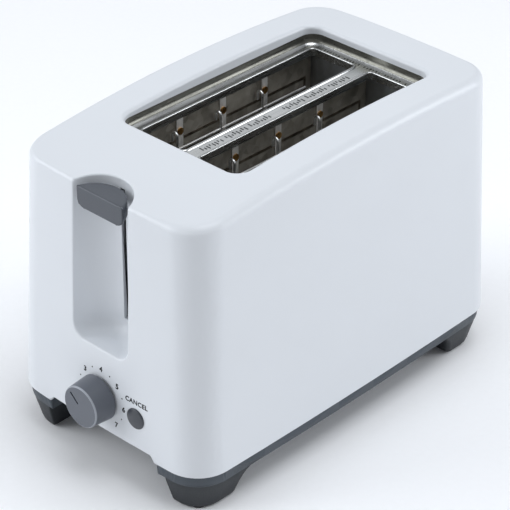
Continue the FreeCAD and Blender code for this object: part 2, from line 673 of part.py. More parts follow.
def make_top_plate():
    """Pressed metal plate under the opening, with two bread slots and turned-down lips."""
    flange = rounded_block("plate_flange", "0", "opening_offset",
                           "rim_bottom - 0.2 - sheet_metal", "opening_width + 2 * rim_wall",
                           "opening_length + 2 * rim_wall", "sheet_metal",
                           "opening_round + rim_wall")
    basin = rounded_block("plate_basin", "0", "opening_offset", "slot_plane - sheet_metal",
                          "opening_width + 1 + 2 * sheet_metal",
                          "opening_length + 1 + 2 * sheet_metal",
                          "rim_bottom - 0.2 - slot_plane + sheet_metal",
                          "opening_round + 0.5 + sheet_metal")
    solids = [flange, basin]
    holes = [rounded_block("plate_hollow", "0", "opening_offset", "slot_plane",
                           "opening_width + 1", "opening_length + 1", "12",
                           "opening_round + 0.5")]
    for index, side in enumerate(("slot_centre", "-slot_centre")):
        solids.append(rounded_block("slot_collar_%d" % index, side, "slot_offset",
                                    "slot_plane - sheet_metal - slot_lip",
                                    "slot_width + 2 * sheet_metal",
                                    "slot_length + 2 * sheet_metal", "slot_lip + sheet_metal / 2",
                                    "slot_round + sheet_metal"))
        holes.append(rounded_block("slot_hole_%d" % index, side, "slot_offset",
                                   "slot_plane - sheet_metal - slot_lip - 1", "slot_width",
                                   "slot_length", "slot_lip + 4", "slot_round"))
    plate = cut("plate", join("plate_solid", solids), holes)
    return node(plate, "top_plate")


BOARD_TABS = ("80", "130")


def end_plate(label, low_y):
    """One steel end wall of the chamber, slotted for the bread racks and the board tabs."""
    half = "board_side + reflector_gap + 1"
    wall = box(label + "_sheet", "-(%s)" % half, low_y, "chassis_top", "2 * (%s)" % half,
               "sheet_metal", "slot_plane - 3 - chassis_top")
    holes = []
    for index, side in enumerate(("slot_centre", "-slot_centre")):
        holes.append(box("%s_rack_way_%d" % (label, index),
                         side + " - rack_thick / 2 - 0.8", low_y + " - 1",
                         "carriage_level - lever_travel - 2", "rack_thick + 1.6",
                         "sheet_metal + 2", "lever_travel + rack_height + 8"))
    for index, side in enumerate(("0", "board_side + board_thick / 2",
                                  "-board_side - board_thick / 2")):
        for level in BOARD_TABS:
            holes.append(box("%s_tab_way_%d_%s" % (label, index, level),
                             "%s - board_thick / 2 - 0.1" % side, low_y + " - 1",
                             level + " - 0.2", "board_thick + 0.2", "sheet_metal + 2", "10.4"))
    return node(cut(label + "_cut", wall, holes), label)


def heater_board(label, middle_x):
    """A mica board with two tabs at each end."""
    low_x = middle_x + " - board_thick / 2"
    pieces = [box(label + "_sheet", low_x, "chamber_front + 0.3", "board_bottom",
                  "board_thick", "chamber_length - 0.6", "board_top - board_bottom")]
    for level in BOARD_TABS:
        pieces.append(box("%s_tab_%s" % (label, level), low_x,
                          "chamber_front - sheet_metal - 1.5", level, "board_thick",
                          "chamber_length + 2 * sheet_metal + 3", "10"))
    return node(join(label + "_board", pieces), label)


def serpentine(face_x, outward):
    """A flat heating ribbon run back and forth over one face of a board."""
    thick = size("ribbon_thick")
    low_x = face_x if outward > 0 else face_x - thick
    runs = int(size("ribbon_runs"))
    wide = size("ribbon_width")
    start_y = size("chamber_front") + size("ribbon_edge")
    stop_y = size("chamber_rear") - size("ribbon_edge")
    low_z = size("board_bottom") + size("ribbon_edge")
    step = (size("board_top") - size("board_bottom") - 4 * size("ribbon_edge")) / (runs - 1)
    pieces = []
    for run in range(runs):
        corner = Vector(low_x, start_y, low_z + run * step)
        pieces.append(Part.makeBox(thick, stop_y - start_y, wide, corner))
        if run < runs - 1:
            end_y = stop_y - wide if run % 2 == 0 else start_y
            corner = Vector(low_x, end_y, low_z + run * step)
            pieces.append(Part.makeBox(thick, wide, step + wide, corner))
    return pieces[0].multiFuse(pieces[1:]).removeSplitter()


def clip_strips(label, faces):
    """Three steel strips that hold the ribbon down on each face."""
    strips = []
    for face_x, outward in faces:
        low_x = "%s + ribbon_thick" % face_x
        if outward < 0:
            low_x = "%s - ribbon_thick - strip_thick" % face_x
        for index in (-1, 0, 1):
            strips.append(box("%s_%d_%d" % (label, outward, index + 1), low_x,
                              "slot_offset - 2 + %d * strip_pitch - strip_width / 2" % index,
                              "board_bottom + 4", "strip_thick", "strip_width",
                              "board_top - board_bottom - 5"))
    return node(join(label + "_set", strips), label)


def eyelets(label, faces):
    """A brass rivet head on each strip."""
    heads = []
    for face_x, outward in faces:
        low_x = "%s + ribbon_thick + strip_thick" % face_x
        if outward < 0:
            low_x = "%s - ribbon_thick - strip_thick - 0.7" % face_x
        for index in (-1, 0, 1):
            heads.append(rod("%s_%d_%d" % (label, outward, index + 1), low_x,
                             "slot_offset - 2 + %d * strip_pitch" % index, "eyelet_level",
                             "eyelet_radius", "0.7", "x"))
    return node(join(label + "_set", heads), label)


def wire_guard(label, wire_x, outward):
    """Three hooked guard wires joined by a level rail, beside one face of a slot."""
    radius = size("wire_radius")
    hook = size("wire_hook") * outward
    foot_z = size("chassis_top")
    bend_z = size("eyelet_level") + 1
    pieces = []
    for index in (-1, 0, 1):
        y = size("slot_offset") - 2 + index * size("strip_pitch") - size("wire_side")
        foot = Vector(wire_x, y, foot_z)
        bend = Vector(wire_x, y, bend_z)
        crest = Vector(wire_x + hook, y, bend_z + abs(hook))
        over = Vector(wire_x + 2 * hook, y, bend_z)
        tip = Vector(wire_x + 2 * hook, y, bend_z - 4)
        path = Part.Wire([Part.makeLine(foot, bend), Part.Arc(bend, crest, over).toShape(),
                          Part.makeLine(over, tip)])
        ring = Part.Wire([Part.makeCircle(radius, foot, Vector(0, 0, 1))])
        pieces.append(path.makePipeShell([ring], True, False))
    rail_start = size("slot_offset") - 4 - size("strip_pitch") - size("wire_side")
    rail = Part.makeCylinder(radius, size("slot_rear") - 8 - rail_start,
                             Vector(wire_x, rail_start, size("wire_rail")), Vector(0, 1, 0))
    return shaped(label, rail.multiFuse(pieces).removeSplitter())


def make_chamber():
    """End walls, side reflectors, chassis plate, heater boards and what is on them."""
    end_plate("end_plate_front", "chamber_front - sheet_metal")
    end_plate("end_plate_rear", "chamber_rear")
    for name, low_x in (("right", "board_side + reflector_gap"),
                        ("left", "-board_side - reflector_gap - 0.6")):
        sheet_box = box("reflector_box_" + name, low_x, "chamber_front + 0.1", "chassis_top",
                        "0.6", "chamber_length - 0.2", "slot_plane - 7 - chassis_top")
        node(sheet_box, "reflector_" + name)
    tray = box("chassis_sheet", "-62", "chamber_front - 38", "chassis_level", "124",
               "chamber_length + 66", "chassis_thick")
    windows = []
    for index, side in enumerate(("slot_centre", "-slot_centre")):
        windows.append(box("crumb_window_%d" % index, "%s - slot_width / 2 + 4" % side,
                           "slot_front + 4", "chassis_level - 1", "slot_width - 8",
                           "slot_length - 8", "chassis_thick + 2"))
    for index, (side, end) in enumerate(FOOT_CORNERS):
        post_y = "post_front" if end < 0 else "post_rear"
        windows.append(rod("screw_way_%d" % index, "%d * post_side" % side, post_y,
                           "chassis_level - 1", "screw_way_radius", "3"))
    node(cut("chassis", tray, windows), "chassis_plate")
    heater_board("heater_board_right", "board_side + board_thick / 2")
    heater_board("heater_board_left", "-board_side - board_thick / 2")
    heater_board("heater_board_centre", "0")
    side = size("board_side")
    half = size("board_thick") / 2
    shaped("heater_ribbon_right", serpentine(side, -1))
    shaped("heater_ribbon_left", serpentine(-side, 1))
    shaped("heater_ribbon_centre", Part.makeCompound([serpentine(half, 1),
                                                      serpentine(-half, -1)]))
    right = [("board_side", -1)]
    left = [("-board_side", 1)]
    centre = [("board_thick / 2", 1), ("-board_thick / 2", -1)]
    for name, faces in (("right", right), ("left", left), ("centre", centre)):
        clip_strips("clip_strips_" + name, faces)
        eyelets("eyelets_" + name, faces)
    inner = size("slot_inner") + size("wire_inset")
    outer = size("slot_outer") - size("wire_inset")
    wire_guard("wire_guard_right_outer", outer, 1)
    wire_guard("wire_guard_right_inner", inner, -1)
    wire_guard("wire_guard_left_inner", -inner, 1)
    wire_guard("wire_guard_left_outer", -outer, -1)


def make_chassis_screws():
    """Four screws through the chassis plate into the base's posts."""
    screws = []
    for index, (side, end) in enumerate(FOOT_CORNERS):
        post_y = "post_front" if end < 0 else "post_rear"
        screws.append(rod("screw_shank_%d" % index, "%d * post_side" % side, post_y,
                          "chassis_level - 7", "screw_radius", "chassis_thick + 7.5"))
        screws.append(rod("screw_head_%d" % index, "%d * post_side" % side, post_y,
                          "chassis_top", "3", "1.8"))
    node(join("screw_set", screws), "chassis_screws")


# --- lever and bread carriage ------------------------------------------------------

def make_carriage():
    """Carriage plate on two guide rods, two bread racks, stem, lever, spring and armature."""
    back = "-rod_line + 12"
    front = "-rod_line - 9"
    bore = "rod_radius + running_gap"
    pieces = [
        box("carriage_floor", "-27", front, "carriage_level", "54", "21", "1.5"),
        box("carriage_riser", "-12", front + " - 1.5", "carriage_level", "24", "1.5",
            "stem_bottom + stem_height - 3 - carriage_level"),
        box("carriage_ears", "-27", front, "stem_bottom - 4", "54", "17", "1.5"),
    ]
    bores = [rod("spring_way", "0", "-rod_line", "stem_bottom - 6", "5.5", "6")]
    for side in (-1, 1):
        x = "%d * rod_spacing / 2" % side
        pieces.append(rod("bush_%d" % (side + 1), x, "-rod_line", "carriage_level",
                          bore + " + bush_wall", "bush_height"))
        bores.append(rod("bush_bore_%d" % (side + 1), x, "-rod_line", "carriage_level - 1",
                         bore, "stem_bottom - carriage_level"))
        rod_piece = rod("rod_%d" % (side + 1), x, "-rod_line", "chassis_top", "rod_radius",
                        "slot_plane - 2.7 - chassis_top")
        node(rod_piece, "guide_rod_right" if side > 0 else "guide_rod_left")
    node(cut("carriage", join("carriage_solid", pieces), bores), "carriage_bracket")
    for side, name in ((1, "right"), (-1, "left")):
        middle = "%d * slot_centre" % side
        parts = [box("rack_bar_" + name, middle + " - rack_thick / 2", back + " - 7",
                     "carriage_level + 1.5", "rack_thick",
                     "chamber_rear + sheet_metal + 3 + rod_line - 5", "rack_height")]
        for index in range(int(size("finger_count"))):
            parts.append(box("rack_finger_%s_%d" % (name, index),
                             middle + " - rack_width / 2",
                             "slot_front + 8 + %d * (slot_length - 18) / (finger_count - 1)" % index,
                             "carriage_level + rack_height - 0.1", "rack_width", "1.6", "1.6"))
        node(join("rack_" + name, parts), "bread_rack_" + name)
    stem_start = "recess_axis + lever_radius - 6"
    stem = box("stem", "-stem_thick / 2", stem_start, "stem_bottom", "stem_thick",
               front + " - 1.5 - (%s)" % stem_start, "stem_height")
    node(stem, "lever_stem")
    body = capsule("lever_body", "lever_radius", "lever_top - lever_height", "lever_corner",
                   "lever_top")
    trim = box("lever_front_cut", "-lever_radius - 1", "recess_axis - lever_radius - 2",
               "lever_top - lever_height - 1", "2 * lever_radius + 2",
               "lever_front - recess_axis + lever_radius + 2", "lever_height + 2")
    pocket = box("lever_pocket", "-stem_thick / 2", stem_start, "stem_bottom", "stem_thick",
                 "12", "stem_height")
    node(cut("lever_cut", body, [trim, pocket]), "lever_knob")
    armature = rod("armature_disc", "0", "-rod_line", "carriage_level - 1.5", "7", "1.5")
    node(armature, "armature")
    bracket = box("rod_bracket_box", "-27", front, "slot_plane - 2.7", "54",
                  "chamber_front + rod_line + 9", "1.5")
    node(bracket, "rod_bracket")


def make_spring():
    """Tension spring that lifts the carriage."""
    low = size("carriage_level") + 1.5
    high = size("slot_plane") - 2.7
    wire = 0.35
    coil = 3.0
    turns = 14
    rise = high - low - 2 * wire
    path = Part.makeHelix(rise / turns, rise, coil)
    ring = Part.Wire([Part.makeCircle(wire, Vector(coil, 0, 0), Vector(0, 1, 0))])
    helix = Part.Wire(path.Edges).makePipeShell([ring], True, True)
    helix.translate(Vector(0, -size("rod_line"), low + wire))
    shaped("carriage_spring", helix)


# --- controls and electrical parts -----------------------------------------------------

def make_controls():
    """Browning dial on its shaft, potentiometer, circuit board and cancel button."""
    board = box("circuit_box", "-42", "circuit_front", "pan_rim + shell_bottom + 0.5", "84",
                "circuit_thick", "recess_bottom - wall - 43")
    node(board, "circuit_board")
    pot = box("pot_box", "-8", "circuit_front - 7.5", "dial_height - 8", "16", "7.5", "16")
    node(pot, "browning_control")
    base_y = "-(front_at_dial + dial_gap)"
    reach = "dial_gap + dial_depth + circuit_setback - 12"
    shaft_y = "circuit_front - 7.6 - (%s)" % reach
    shaft = rod("shaft_rod", "0", shaft_y, "dial_height", "shaft_radius", reach, "y")
    node(shaft, "dial_shaft")
    knob = cone("dial_cone", "0", base_y + " - dial_depth", "dial_height", "dial_face_radius",
                "dial_base_radius", "dial_depth", "y")
    bore = rod("dial_bore", "0", shaft_y, "dial_height", "shaft_radius", "40", "y")
    groove = box("dial_pointer", "0", base_y + " - dial_depth - 1", "dial_height",
                 "dial_face_radius - 1.5", "1.5", "0.7")
    groove.Placement.Rotation = FreeCAD.Rotation(Vector(0, 1, 0), -135)
    node(cut("dial", knob, [bore, groove]), "browning_dial")
    button_z = "dial_height - cancel_drop"
    button_y = "-(front_at_dial + cancel_proud)"
    cap = join("button_solid", [
        rod("button_cap", "cancel_side", button_y + " + 0.8", button_z, "cancel_radius",
            "cancel_proud + 7.4", "y"),
        cone("button_crown", "cancel_side", button_y, button_z, "cancel_radius - 1.2",
             "cancel_radius", "0.8", "y"),
        rod("button_flange", "cancel_side", "wall + 0.8 - front_at_dial", button_z,
            "cancel_radius + 1.4", "1.2", "y")])
    node(cap, "cancel_button")
    switch = box("switch_box", "cancel_side - 3.5", "circuit_front - 2.4", button_z + " - 3.5",
                 "7", "2.4", "7")
    node(switch, "cancel_switch")


def make_electrical():
    """Hold-down magnet, power contacts, terminal block and cord gland."""
    bracket = box("magnet_plate", "-12", "-rod_line - 9", "chassis_top", "24", "18", "1.5")
    node(bracket, "magnet_bracket")
    core = rod("core_rod", "0", "-rod_line", "chassis_top + 1.5", "core_radius",
               "magnet_height - 1.5")
    node(core, "magnet_core")
    coil = rod("coil_rod", "0", "-rod_line", "chassis_top + 1.6", "magnet_radius",
               "magnet_height - 2.4")
    hole = rod("coil_hole", "0", "-rod_line", "chassis_top + 1", "core_radius + 0.1",
               "magnet_height")
    node(cut("coil", coil, [hole]), "magnet_coil")
    block = box("contact_box", "-40", "-rod_line - 8", "chassis_top", "10", "16", "9")
    node(block, "contact_block")
    for index, name in enumerate(("front", "rear")):
        blade = box("blade_" + name, "-39", "%d * 8 - rod_line - 6" % index,
                    "chassis_top + 9", "8", "4", "0.5")
        node(blade, "contact_blade_" + name)
    terminal = box("terminal_box", "gland_side - 26", "chamber_rear + 12", "chassis_top",
                   "26", "12", "13")
    node(terminal, "terminal_block")
    solids = [
        rod("gland_body", "gland_side", "rear_at_gland - 7", "gland_level", "gland_radius",
            "7 + gland_proud", "y"),
        rod("gland_flange", "gland_side", "rear_at_gland + 0.3", "gland_level",
            "gland_radius + 2", "1.5", "y"),
    ]
    bore = rod("gland_bore", "gland_side", "rear_at_gland - 9", "gland_level", "cord_hole",
               "10 + gland_proud + 9", "y")
    node(cut("gland", join("gland_solid", solids), [bore]), "cord_gland")


def make_crumb_tray():
    """Sheet-metal tray with a moulded grip, drawn out at the back."""
    end_y = "half_length - band_inset - band_taper - 1"
    outer = box("tray_outer", "-tray_width / 2", end_y + " - tray_length", "tray_level",
                "tray_width", "tray_length", "tray_height")
    inner = box("tray_inner", "-tray_width / 2 + 0.6", end_y + " - tray_length + 0.6",
                "tray_level + 0.6", "tray_width - 1.2", "tray_length - 1.2", "tray_height")
    node(cut("tray", outer, [inner]), "crumb_tray")
    grip = box("grip_box", "-tray_width / 2", end_y, "tray_level", "tray_width",
               "tray_grip", "tray_height")
    node(grip, "tray_grip")


make_housing()
make_base()
make_foot_pads()
make_top_plate()
make_chamber()
make_chassis_screws()
make_carriage()
make_spring()
make_controls()
make_electrical()
make_crumb_tray()


# --- checks and files ------------------------------------------------------------

doc.recompute()
faults = []
for thing in doc.Objects:
    if "Invalid" in thing.State or "Error" in thing.State:
        faults.append("%s: %s" % (thing.Name, thing.State))
for thing in nodes:
    shape = thing.Shape
    if shape.isNull() or not shape.isValid():
        faults.append("%s: bad shape" % thing.Label)
if faults:
    raise RuntimeError("; ".join(faults))

os.makedirs("parts", exist_ok=True)
for thing in nodes:
    thing.Shape.exportStep("parts/%s.step" % thing.Label)
    bounds = thing.Shape.BoundBox
    print("%-24s %d solid(s) %10.1f mm3  x %.1f..%.1f  y %.1f..%.1f  z %.1f..%.1f" % (
        thing.Label, len(thing.Shape.Solids), thing.Shape.Volume, bounds.XMin, bounds.XMax,
        bounds.YMin, bounds.YMax, bounds.ZMin, bounds.ZMax))
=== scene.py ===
"""Pop-up toaster with two slots: its visual pieces and finishes, built around the fixed frame.

Lengths are metres in the frame's own axes: +Z up, the control end faces -Y and the
bread slots run along Y. Pieces are placed by the boxes and surfaces of the frame's nodes.
"""
import json
import math

import bmesh
import bpy
from bpy.props import FloatProperty, FloatVectorProperty, PointerProperty
from mathutils import Matrix, Quaternion, Vector
from mathutils.bvhtree import BVHTree


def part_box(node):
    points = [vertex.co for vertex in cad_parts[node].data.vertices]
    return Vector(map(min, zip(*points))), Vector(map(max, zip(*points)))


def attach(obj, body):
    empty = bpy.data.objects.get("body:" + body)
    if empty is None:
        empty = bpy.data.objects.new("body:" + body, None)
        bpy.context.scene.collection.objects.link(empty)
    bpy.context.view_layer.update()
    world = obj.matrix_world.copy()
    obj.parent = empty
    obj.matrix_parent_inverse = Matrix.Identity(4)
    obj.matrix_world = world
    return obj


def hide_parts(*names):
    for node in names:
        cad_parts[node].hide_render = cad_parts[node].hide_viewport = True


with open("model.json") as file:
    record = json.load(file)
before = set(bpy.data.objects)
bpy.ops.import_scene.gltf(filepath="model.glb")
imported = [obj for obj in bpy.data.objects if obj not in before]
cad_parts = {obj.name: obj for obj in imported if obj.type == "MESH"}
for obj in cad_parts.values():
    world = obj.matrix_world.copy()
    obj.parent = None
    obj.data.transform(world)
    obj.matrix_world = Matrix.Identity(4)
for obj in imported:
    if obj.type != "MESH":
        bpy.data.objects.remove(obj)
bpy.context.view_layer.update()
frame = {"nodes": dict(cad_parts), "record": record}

bl_info = {
    "name": "Pop-up toaster",
    "version": (1, 0, 0),
    "blender": (4, 5, 0),
    "location": "View3D > Sidebar > Toaster",
    "description": "Builds the moulded, pressed and printed pieces of a two-slot toaster",
    "category": "Add Mesh",
}

MM = 0.001
SHARP = math.radians(32)             # edges sharper than this stay crisp
SHARP_PRESSING = math.radians(50)    # the same on the pressed plate, whose rounds are coarser
ARC_STEPS = 6                        # flat facets in a quarter round of an edge
LATHE_STEPS = 72                     # facets round a turned piece
MERGE = 1e-7                         # points closer than this are one point
LEVEL = 1e-6                         # a point this near a plane lies in it

# the pressed plate in the roof
PLATE_DROP = 6.5 * MM                # from the plate's rim down to its floor
PLATE_WALL = 3.0 * MM                # the hidden flange round its basin
PLATE_GAP = 0.5 * MM                 # the basin stands this far outside the opening
PLATE_CORNER = 9.5 * MM
SLOT_NEAR, SLOT_FAR = 5.65 * MM, 38.65 * MM      # a slot's long edges, from the middle
SLOT_FRONT, SLOT_REAR = 12.85 * MM, 9.85 * MM    # a slot's ends, from the plate's ends
SLOT_CORNER = 3.0 * MM
SLOT_LIP = 4.0 * MM
LEAST_CORNER = 1.5 * MM              # the cove's innermost corner stays this round

# the front controls
DIAL_DRAFT = 1.0 * MM                # how much narrower the dial's face is than its base
DIAL_REST = math.radians(46.7)       # the pointer's lean to the left at rest
NUMBER_STEP = math.radians(45.6)     # turn between neighbouring numbers
DIAL_ROUND = 0.4 * MM                # the dial's rear edge
GROOVE_START, GROOVE_STOP = 2.2 * MM, 2.6 * MM   # from the dial's middle, and short of its rim
GROOVE_DEPTH = 0.7 * MM
BUTTON_EDGE = 0.8 * MM
NUMBER_GAP = 4.0 * MM                # from the dial's base out to the numbers
NUMBER_SHIFT = 0.8 * MM              # the print sits a little to the right of the dial's shaft
DOT_RADIUS = 0.45 * MM
LEGEND_RIGHT, LEGEND_UP = 0.5 * MM, 10.2 * MM    # from the button's middle to its legend
NUMBER_WEIGHT, LEGEND_WEIGHT = 0.06, 0.042       # thickening of the strokes, over their height
CAPITAL = 0.72                       # height of a capital letter over the size of the type
LETTER_SPACING = 1.1


def linear(code):
    """An sRGB hex colour as linear red, green, blue and a full alpha."""
    channels = [int(code[place:place + 2], 16) / 255 for place in (0, 2, 4)]
    return tuple(c / 12.92 if c <= 0.04045 else ((c + 0.055) / 1.055) ** 2.4
                 for c in channels) + (1.0,)


def colour(name, description, code):
    """A colour property with its default given as sRGB hex."""
    return FloatVectorProperty(name=name, description=description, default=linear(code),
                               size=4, min=0.0, max=1.0, subtype="COLOR")


def length(name, description, default):
    """A length property in metres."""
    return FloatProperty(name=name, description=description, default=default, min=0.0,
                         subtype="DISTANCE", unit="LENGTH")


class ToasterColours(bpy.types.PropertyGroup):
    """The colours of the visible finishes."""
    housing: colour("Housing", "White moulded housing", "DADDE1")
    trim: colour("Trim", "Slate grey moulded base", "3B434B")
    lever: colour("Lever", "Dark grey moulded lever and button", "4C5057")
    dial: colour("Dial", "Grey moulded dial", "5D6169")
    ink: colour("Legends", "Printed legends", "0D0E11")
    floor: colour("Floor", "Plain studio floor", "FCFCFD")


class ToasterSizes(bpy.types.PropertyGroup):
    """The sizes that shape the visual pieces."""
    band_bottom: length("Band bottom", "Level of the underside of the base band", 0.0189)
    cove: length("Cove", "Radius of the hollow where the top plate's wall meets its floor", 0.0042)
    bead: length("Bead", "Width of the rolled bead round each bread slot", 0.0013)
    plate: length("Plate", "Thickness of the pressed top plate", 0.0006)
    lever_edge: length("Lever edge", "Rounding of the lever's edges", 0.0011)
    lever_under: length("Lever underside", "Rounding under the lever", 0.005)
    dial_edge: length("Dial edge", "Rounding of the dial's rim", 0.0009)
    pointer: length("Pointer", "Width of the groove in the dial's face", 0.0012)
    dome: length("Dome", "Height of the dome on the cancel button", 0.0007)
    digit: length("Digit", "Height of the browning numbers", 0.0031)
    legend: length("Legend", "Height of the button's legend", 0.0029)
    ink: length("Ink", "Thickness of the printed ink", 0.00006)


# --- finishes --------------------------------------------------------------------

def add(tree, kind, settings=None, **inputs):
    """Add a node, set its settings, and set or link its inputs by name."""
    node = tree.nodes.new(kind)
    for name, value in (settings or {}).items():
        setattr(node, name, value)
    for name, value in inputs.items():
        socket = node.inputs[int(name[1:])] if name[0] == "_" else node.inputs[name]
        if isinstance(value, bpy.types.NodeSocket):
            tree.links.new(value, socket)
        else:
            socket.default_value = value
    return node


def finish(name, **constants):
    """Start a material: its tree, its shader and its object coordinates."""
    material = bpy.data.materials.new(name)
    material.use_nodes = True
    tree = material.node_tree
    shader = tree.nodes["Principled BSDF"]
    for socket, value in constants.items():
        shader.inputs[socket.replace("_", " ")].default_value = value
    where = add(tree, "ShaderNodeTexCoord").outputs["Object"]
    return material, tree, shader, where


def stretched(tree, where, scale):
    """Object coordinates stretched by a scale along each axis."""
    return add(tree, "ShaderNodeMapping", None, Vector=where, Scale=scale).outputs["Vector"]


def noise(tree, where, size, detail=3.0, roughness=0.55):
    """A noise whose features are about size metres across."""
    return add(tree, "ShaderNodeTexNoise", None, Vector=where, Scale=1 / size, Detail=detail,
               Roughness=roughness).outputs["Fac"]


def shades(tree, factor, low, high, start=0.3, stop=0.7):
    """Two shades blended by a factor."""
    ramp = add(tree, "ShaderNodeValToRGB", None, Fac=factor)
    ends = ramp.color_ramp.elements
    ends[0].position, ends[0].color = start, low
    ends[1].position, ends[1].color = stop, high
    return ramp.outputs["Color"]


def spread(tree, factor, low, high):
    """A factor mapped to run from low to high."""
    span = {"From Min": 0.3, "From Max": 0.7, "To Min": low, "To Max": high}
    return add(tree, "ShaderNodeMapRange", {"clamp": True}, Value=factor, **span).outputs["Result"]


def relief(tree, height, depth, strength=1.0):
    """A bump of a real depth in metres."""
    return add(tree, "ShaderNodeBump", None, Height=height, Distance=depth,
               Strength=strength).outputs["Normal"]


def tint(shade, factor):
    """A shade made lighter or darker by a factor."""
    return tuple(min(1.0, part * factor) for part in shade[:3]) + (1.0,)


def moulded(name, shade, roughness, grain, depth, variation=0.04):
    """Injection-moulded plastic with a spark-eroded grain."""
    material, tree, shader, where = finish(name, IOR=1.53)
    cloud = noise(tree, where, 60 * MM, 2.0)
    fine = noise(tree, where, grain, 2.0)
    tree.links.new(shades(tree, cloud, tint(shade, 1 - variation), tint(shade, 1 + variation / 2)),
                   shader.inputs["Base Color"])
    tree.links.new(spread(tree, fine, roughness - 0.04, roughness + 0.05),
                   shader.inputs["Roughness"])
    tree.links.new(relief(tree, fine, depth), shader.inputs["Normal"])
    return material


def rolled(name, shade, roughness, lay=(1.0, 14.0, 1.0), grain=1.5 * MM, depth=0.00002,
           tarnish=0.12):
    """Rolled or drawn metal: faint lines along its lay and a slow change of tone."""
    material, tree, shader, where = finish(name, Metallic=1.0)
    along = tuple(1 / part for part in lay)
    lines = noise(tree, stretched(tree, where, along), grain, 4.0)
    cloud = noise(tree, where, 22 * MM, 3.0)
    tree.links.new(shades(tree, cloud, tint(shade, 1 - tarnish), tint(shade, 1 + tarnish / 3)),
                   shader.inputs["Base Color"])
    tree.links.new(spread(tree, lines, roughness * 0.75, roughness * 1.3),
                   shader.inputs["Roughness"])
    tree.links.new(relief(tree, lines, depth), shader.inputs["Normal"])
    return material


def mica_board():
    """Layered mica sheet: brown-grey flakes with pale glints, pressed flat."""
    material, tree, shader, where = finish("Mica sheet, pressed in layers", IOR=1.58)
    flake = add(tree, "ShaderNodeTexVoronoi", {"feature": "F1"}, Vector=where,
                Scale=1 / (5 * MM)).outputs["Color"]
    grey = add(tree, "ShaderNodeRGBToBW", None, Color=flake).outputs["Val"]
    cloud = noise(tree, where, 14 * MM, 5.0)
    mixed = add(tree, "ShaderNodeMath", {"operation": "MULTIPLY_ADD"}, _0=grey, _1=0.35,
                _2=cloud).outputs[0]
    tree.links.new(shades(tree, mixed, linear("5A554D"), linear("9A958A"), 0.35, 1.0),
                   shader.inputs["Base Color"])
    tree.links.new(spread(tree, cloud, 0.30, 0.55), shader.inputs["Roughness"])
    tree.links.new(relief(tree, mixed, 0.00008, 0.6), shader.inputs["Normal"])
    return material


def oxidised(name, low, high, roughness):
    """Wire or ribbon coloured by heat in uneven bands."""
    material, tree, shader, where = finish(name, Metallic=1.0)
    bands = noise(tree, where, 7 * MM, 4.0)
    tree.links.new(shades(tree, bands, linear(low), linear(high)), shader.inputs["Base Color"])
    tree.links.new(spread(tree, bands, roughness - 0.08, roughness + 0.1),
                   shader.inputs["Roughness"])
    return material


def laminate():
    """Circuit board laminate: green resist with a woven glass cloth under it."""
    material, tree, shader, where = finish("Glass laminate, solder resist", IOR=1.55)
    weave = add(tree, "ShaderNodeTexWave", {"wave_type": "BANDS", "bands_direction": "DIAGONAL"},
                Vector=where, Scale=1 / (3 * MM), Distortion=0.4).outputs["Fac"]
    tree.links.new(shades(tree, weave, linear("1E4A2A"), linear("2C6A3C")),
                   shader.inputs["Base Color"])
    tree.links.new(spread(tree, weave, 0.3, 0.42), shader.inputs["Roughness"])
    return material


def winding():
    """Enamelled copper wire wound in close turns across the coil."""
    material, tree, shader, where = finish("Enamelled copper winding", Metallic=0.9)
    turns = add(tree, "ShaderNodeTexWave", {"wave_type": "BANDS", "bands_direction": "Z"},
                Vector=where, Scale=1 / (9 * MM), Distortion=0.2).outputs["Fac"]
    tree.links.new(shades(tree, turns, linear("5A2A12"), linear("B4642E")),
                   shader.inputs["Base Color"])
    tree.links.new(spread(tree, turns, 0.25, 0.4), shader.inputs["Roughness"])
    tree.links.new(relief(tree, turns, 0.0002), shader.inputs["Normal"])
    return material


def printed_ink(shade):
    """Pad-printed ink: matt, with a faintly uneven film."""
    material, tree, shader, where = finish("Pad-printed ink", IOR=1.45)
    film = noise(tree, where, 0.8 * MM, 2.0)
    tree.links.new(shades(tree, film, tint(shade, 0.9), tint(shade, 1.15)),
                   shader.inputs["Base Color"])
    tree.links.new(spread(tree, film, 0.5, 0.65), shader.inputs["Roughness"])
    return material


def studio_floor(shade):
    """A sheet of pale paper laid flat, with a soft tooth."""
    material, tree, shader, where = finish("Pale paper floor", IOR=1.4)
    tooth = noise(tree, where, 4 * MM, 3.0)
    tree.links.new(shades(tree, tooth, tint(shade, 0.985), shade), shader.inputs["Base Color"])
    tree.links.new(spread(tree, tooth, 0.75, 0.9), shader.inputs["Roughness"])
    return material


FINISHES = {}


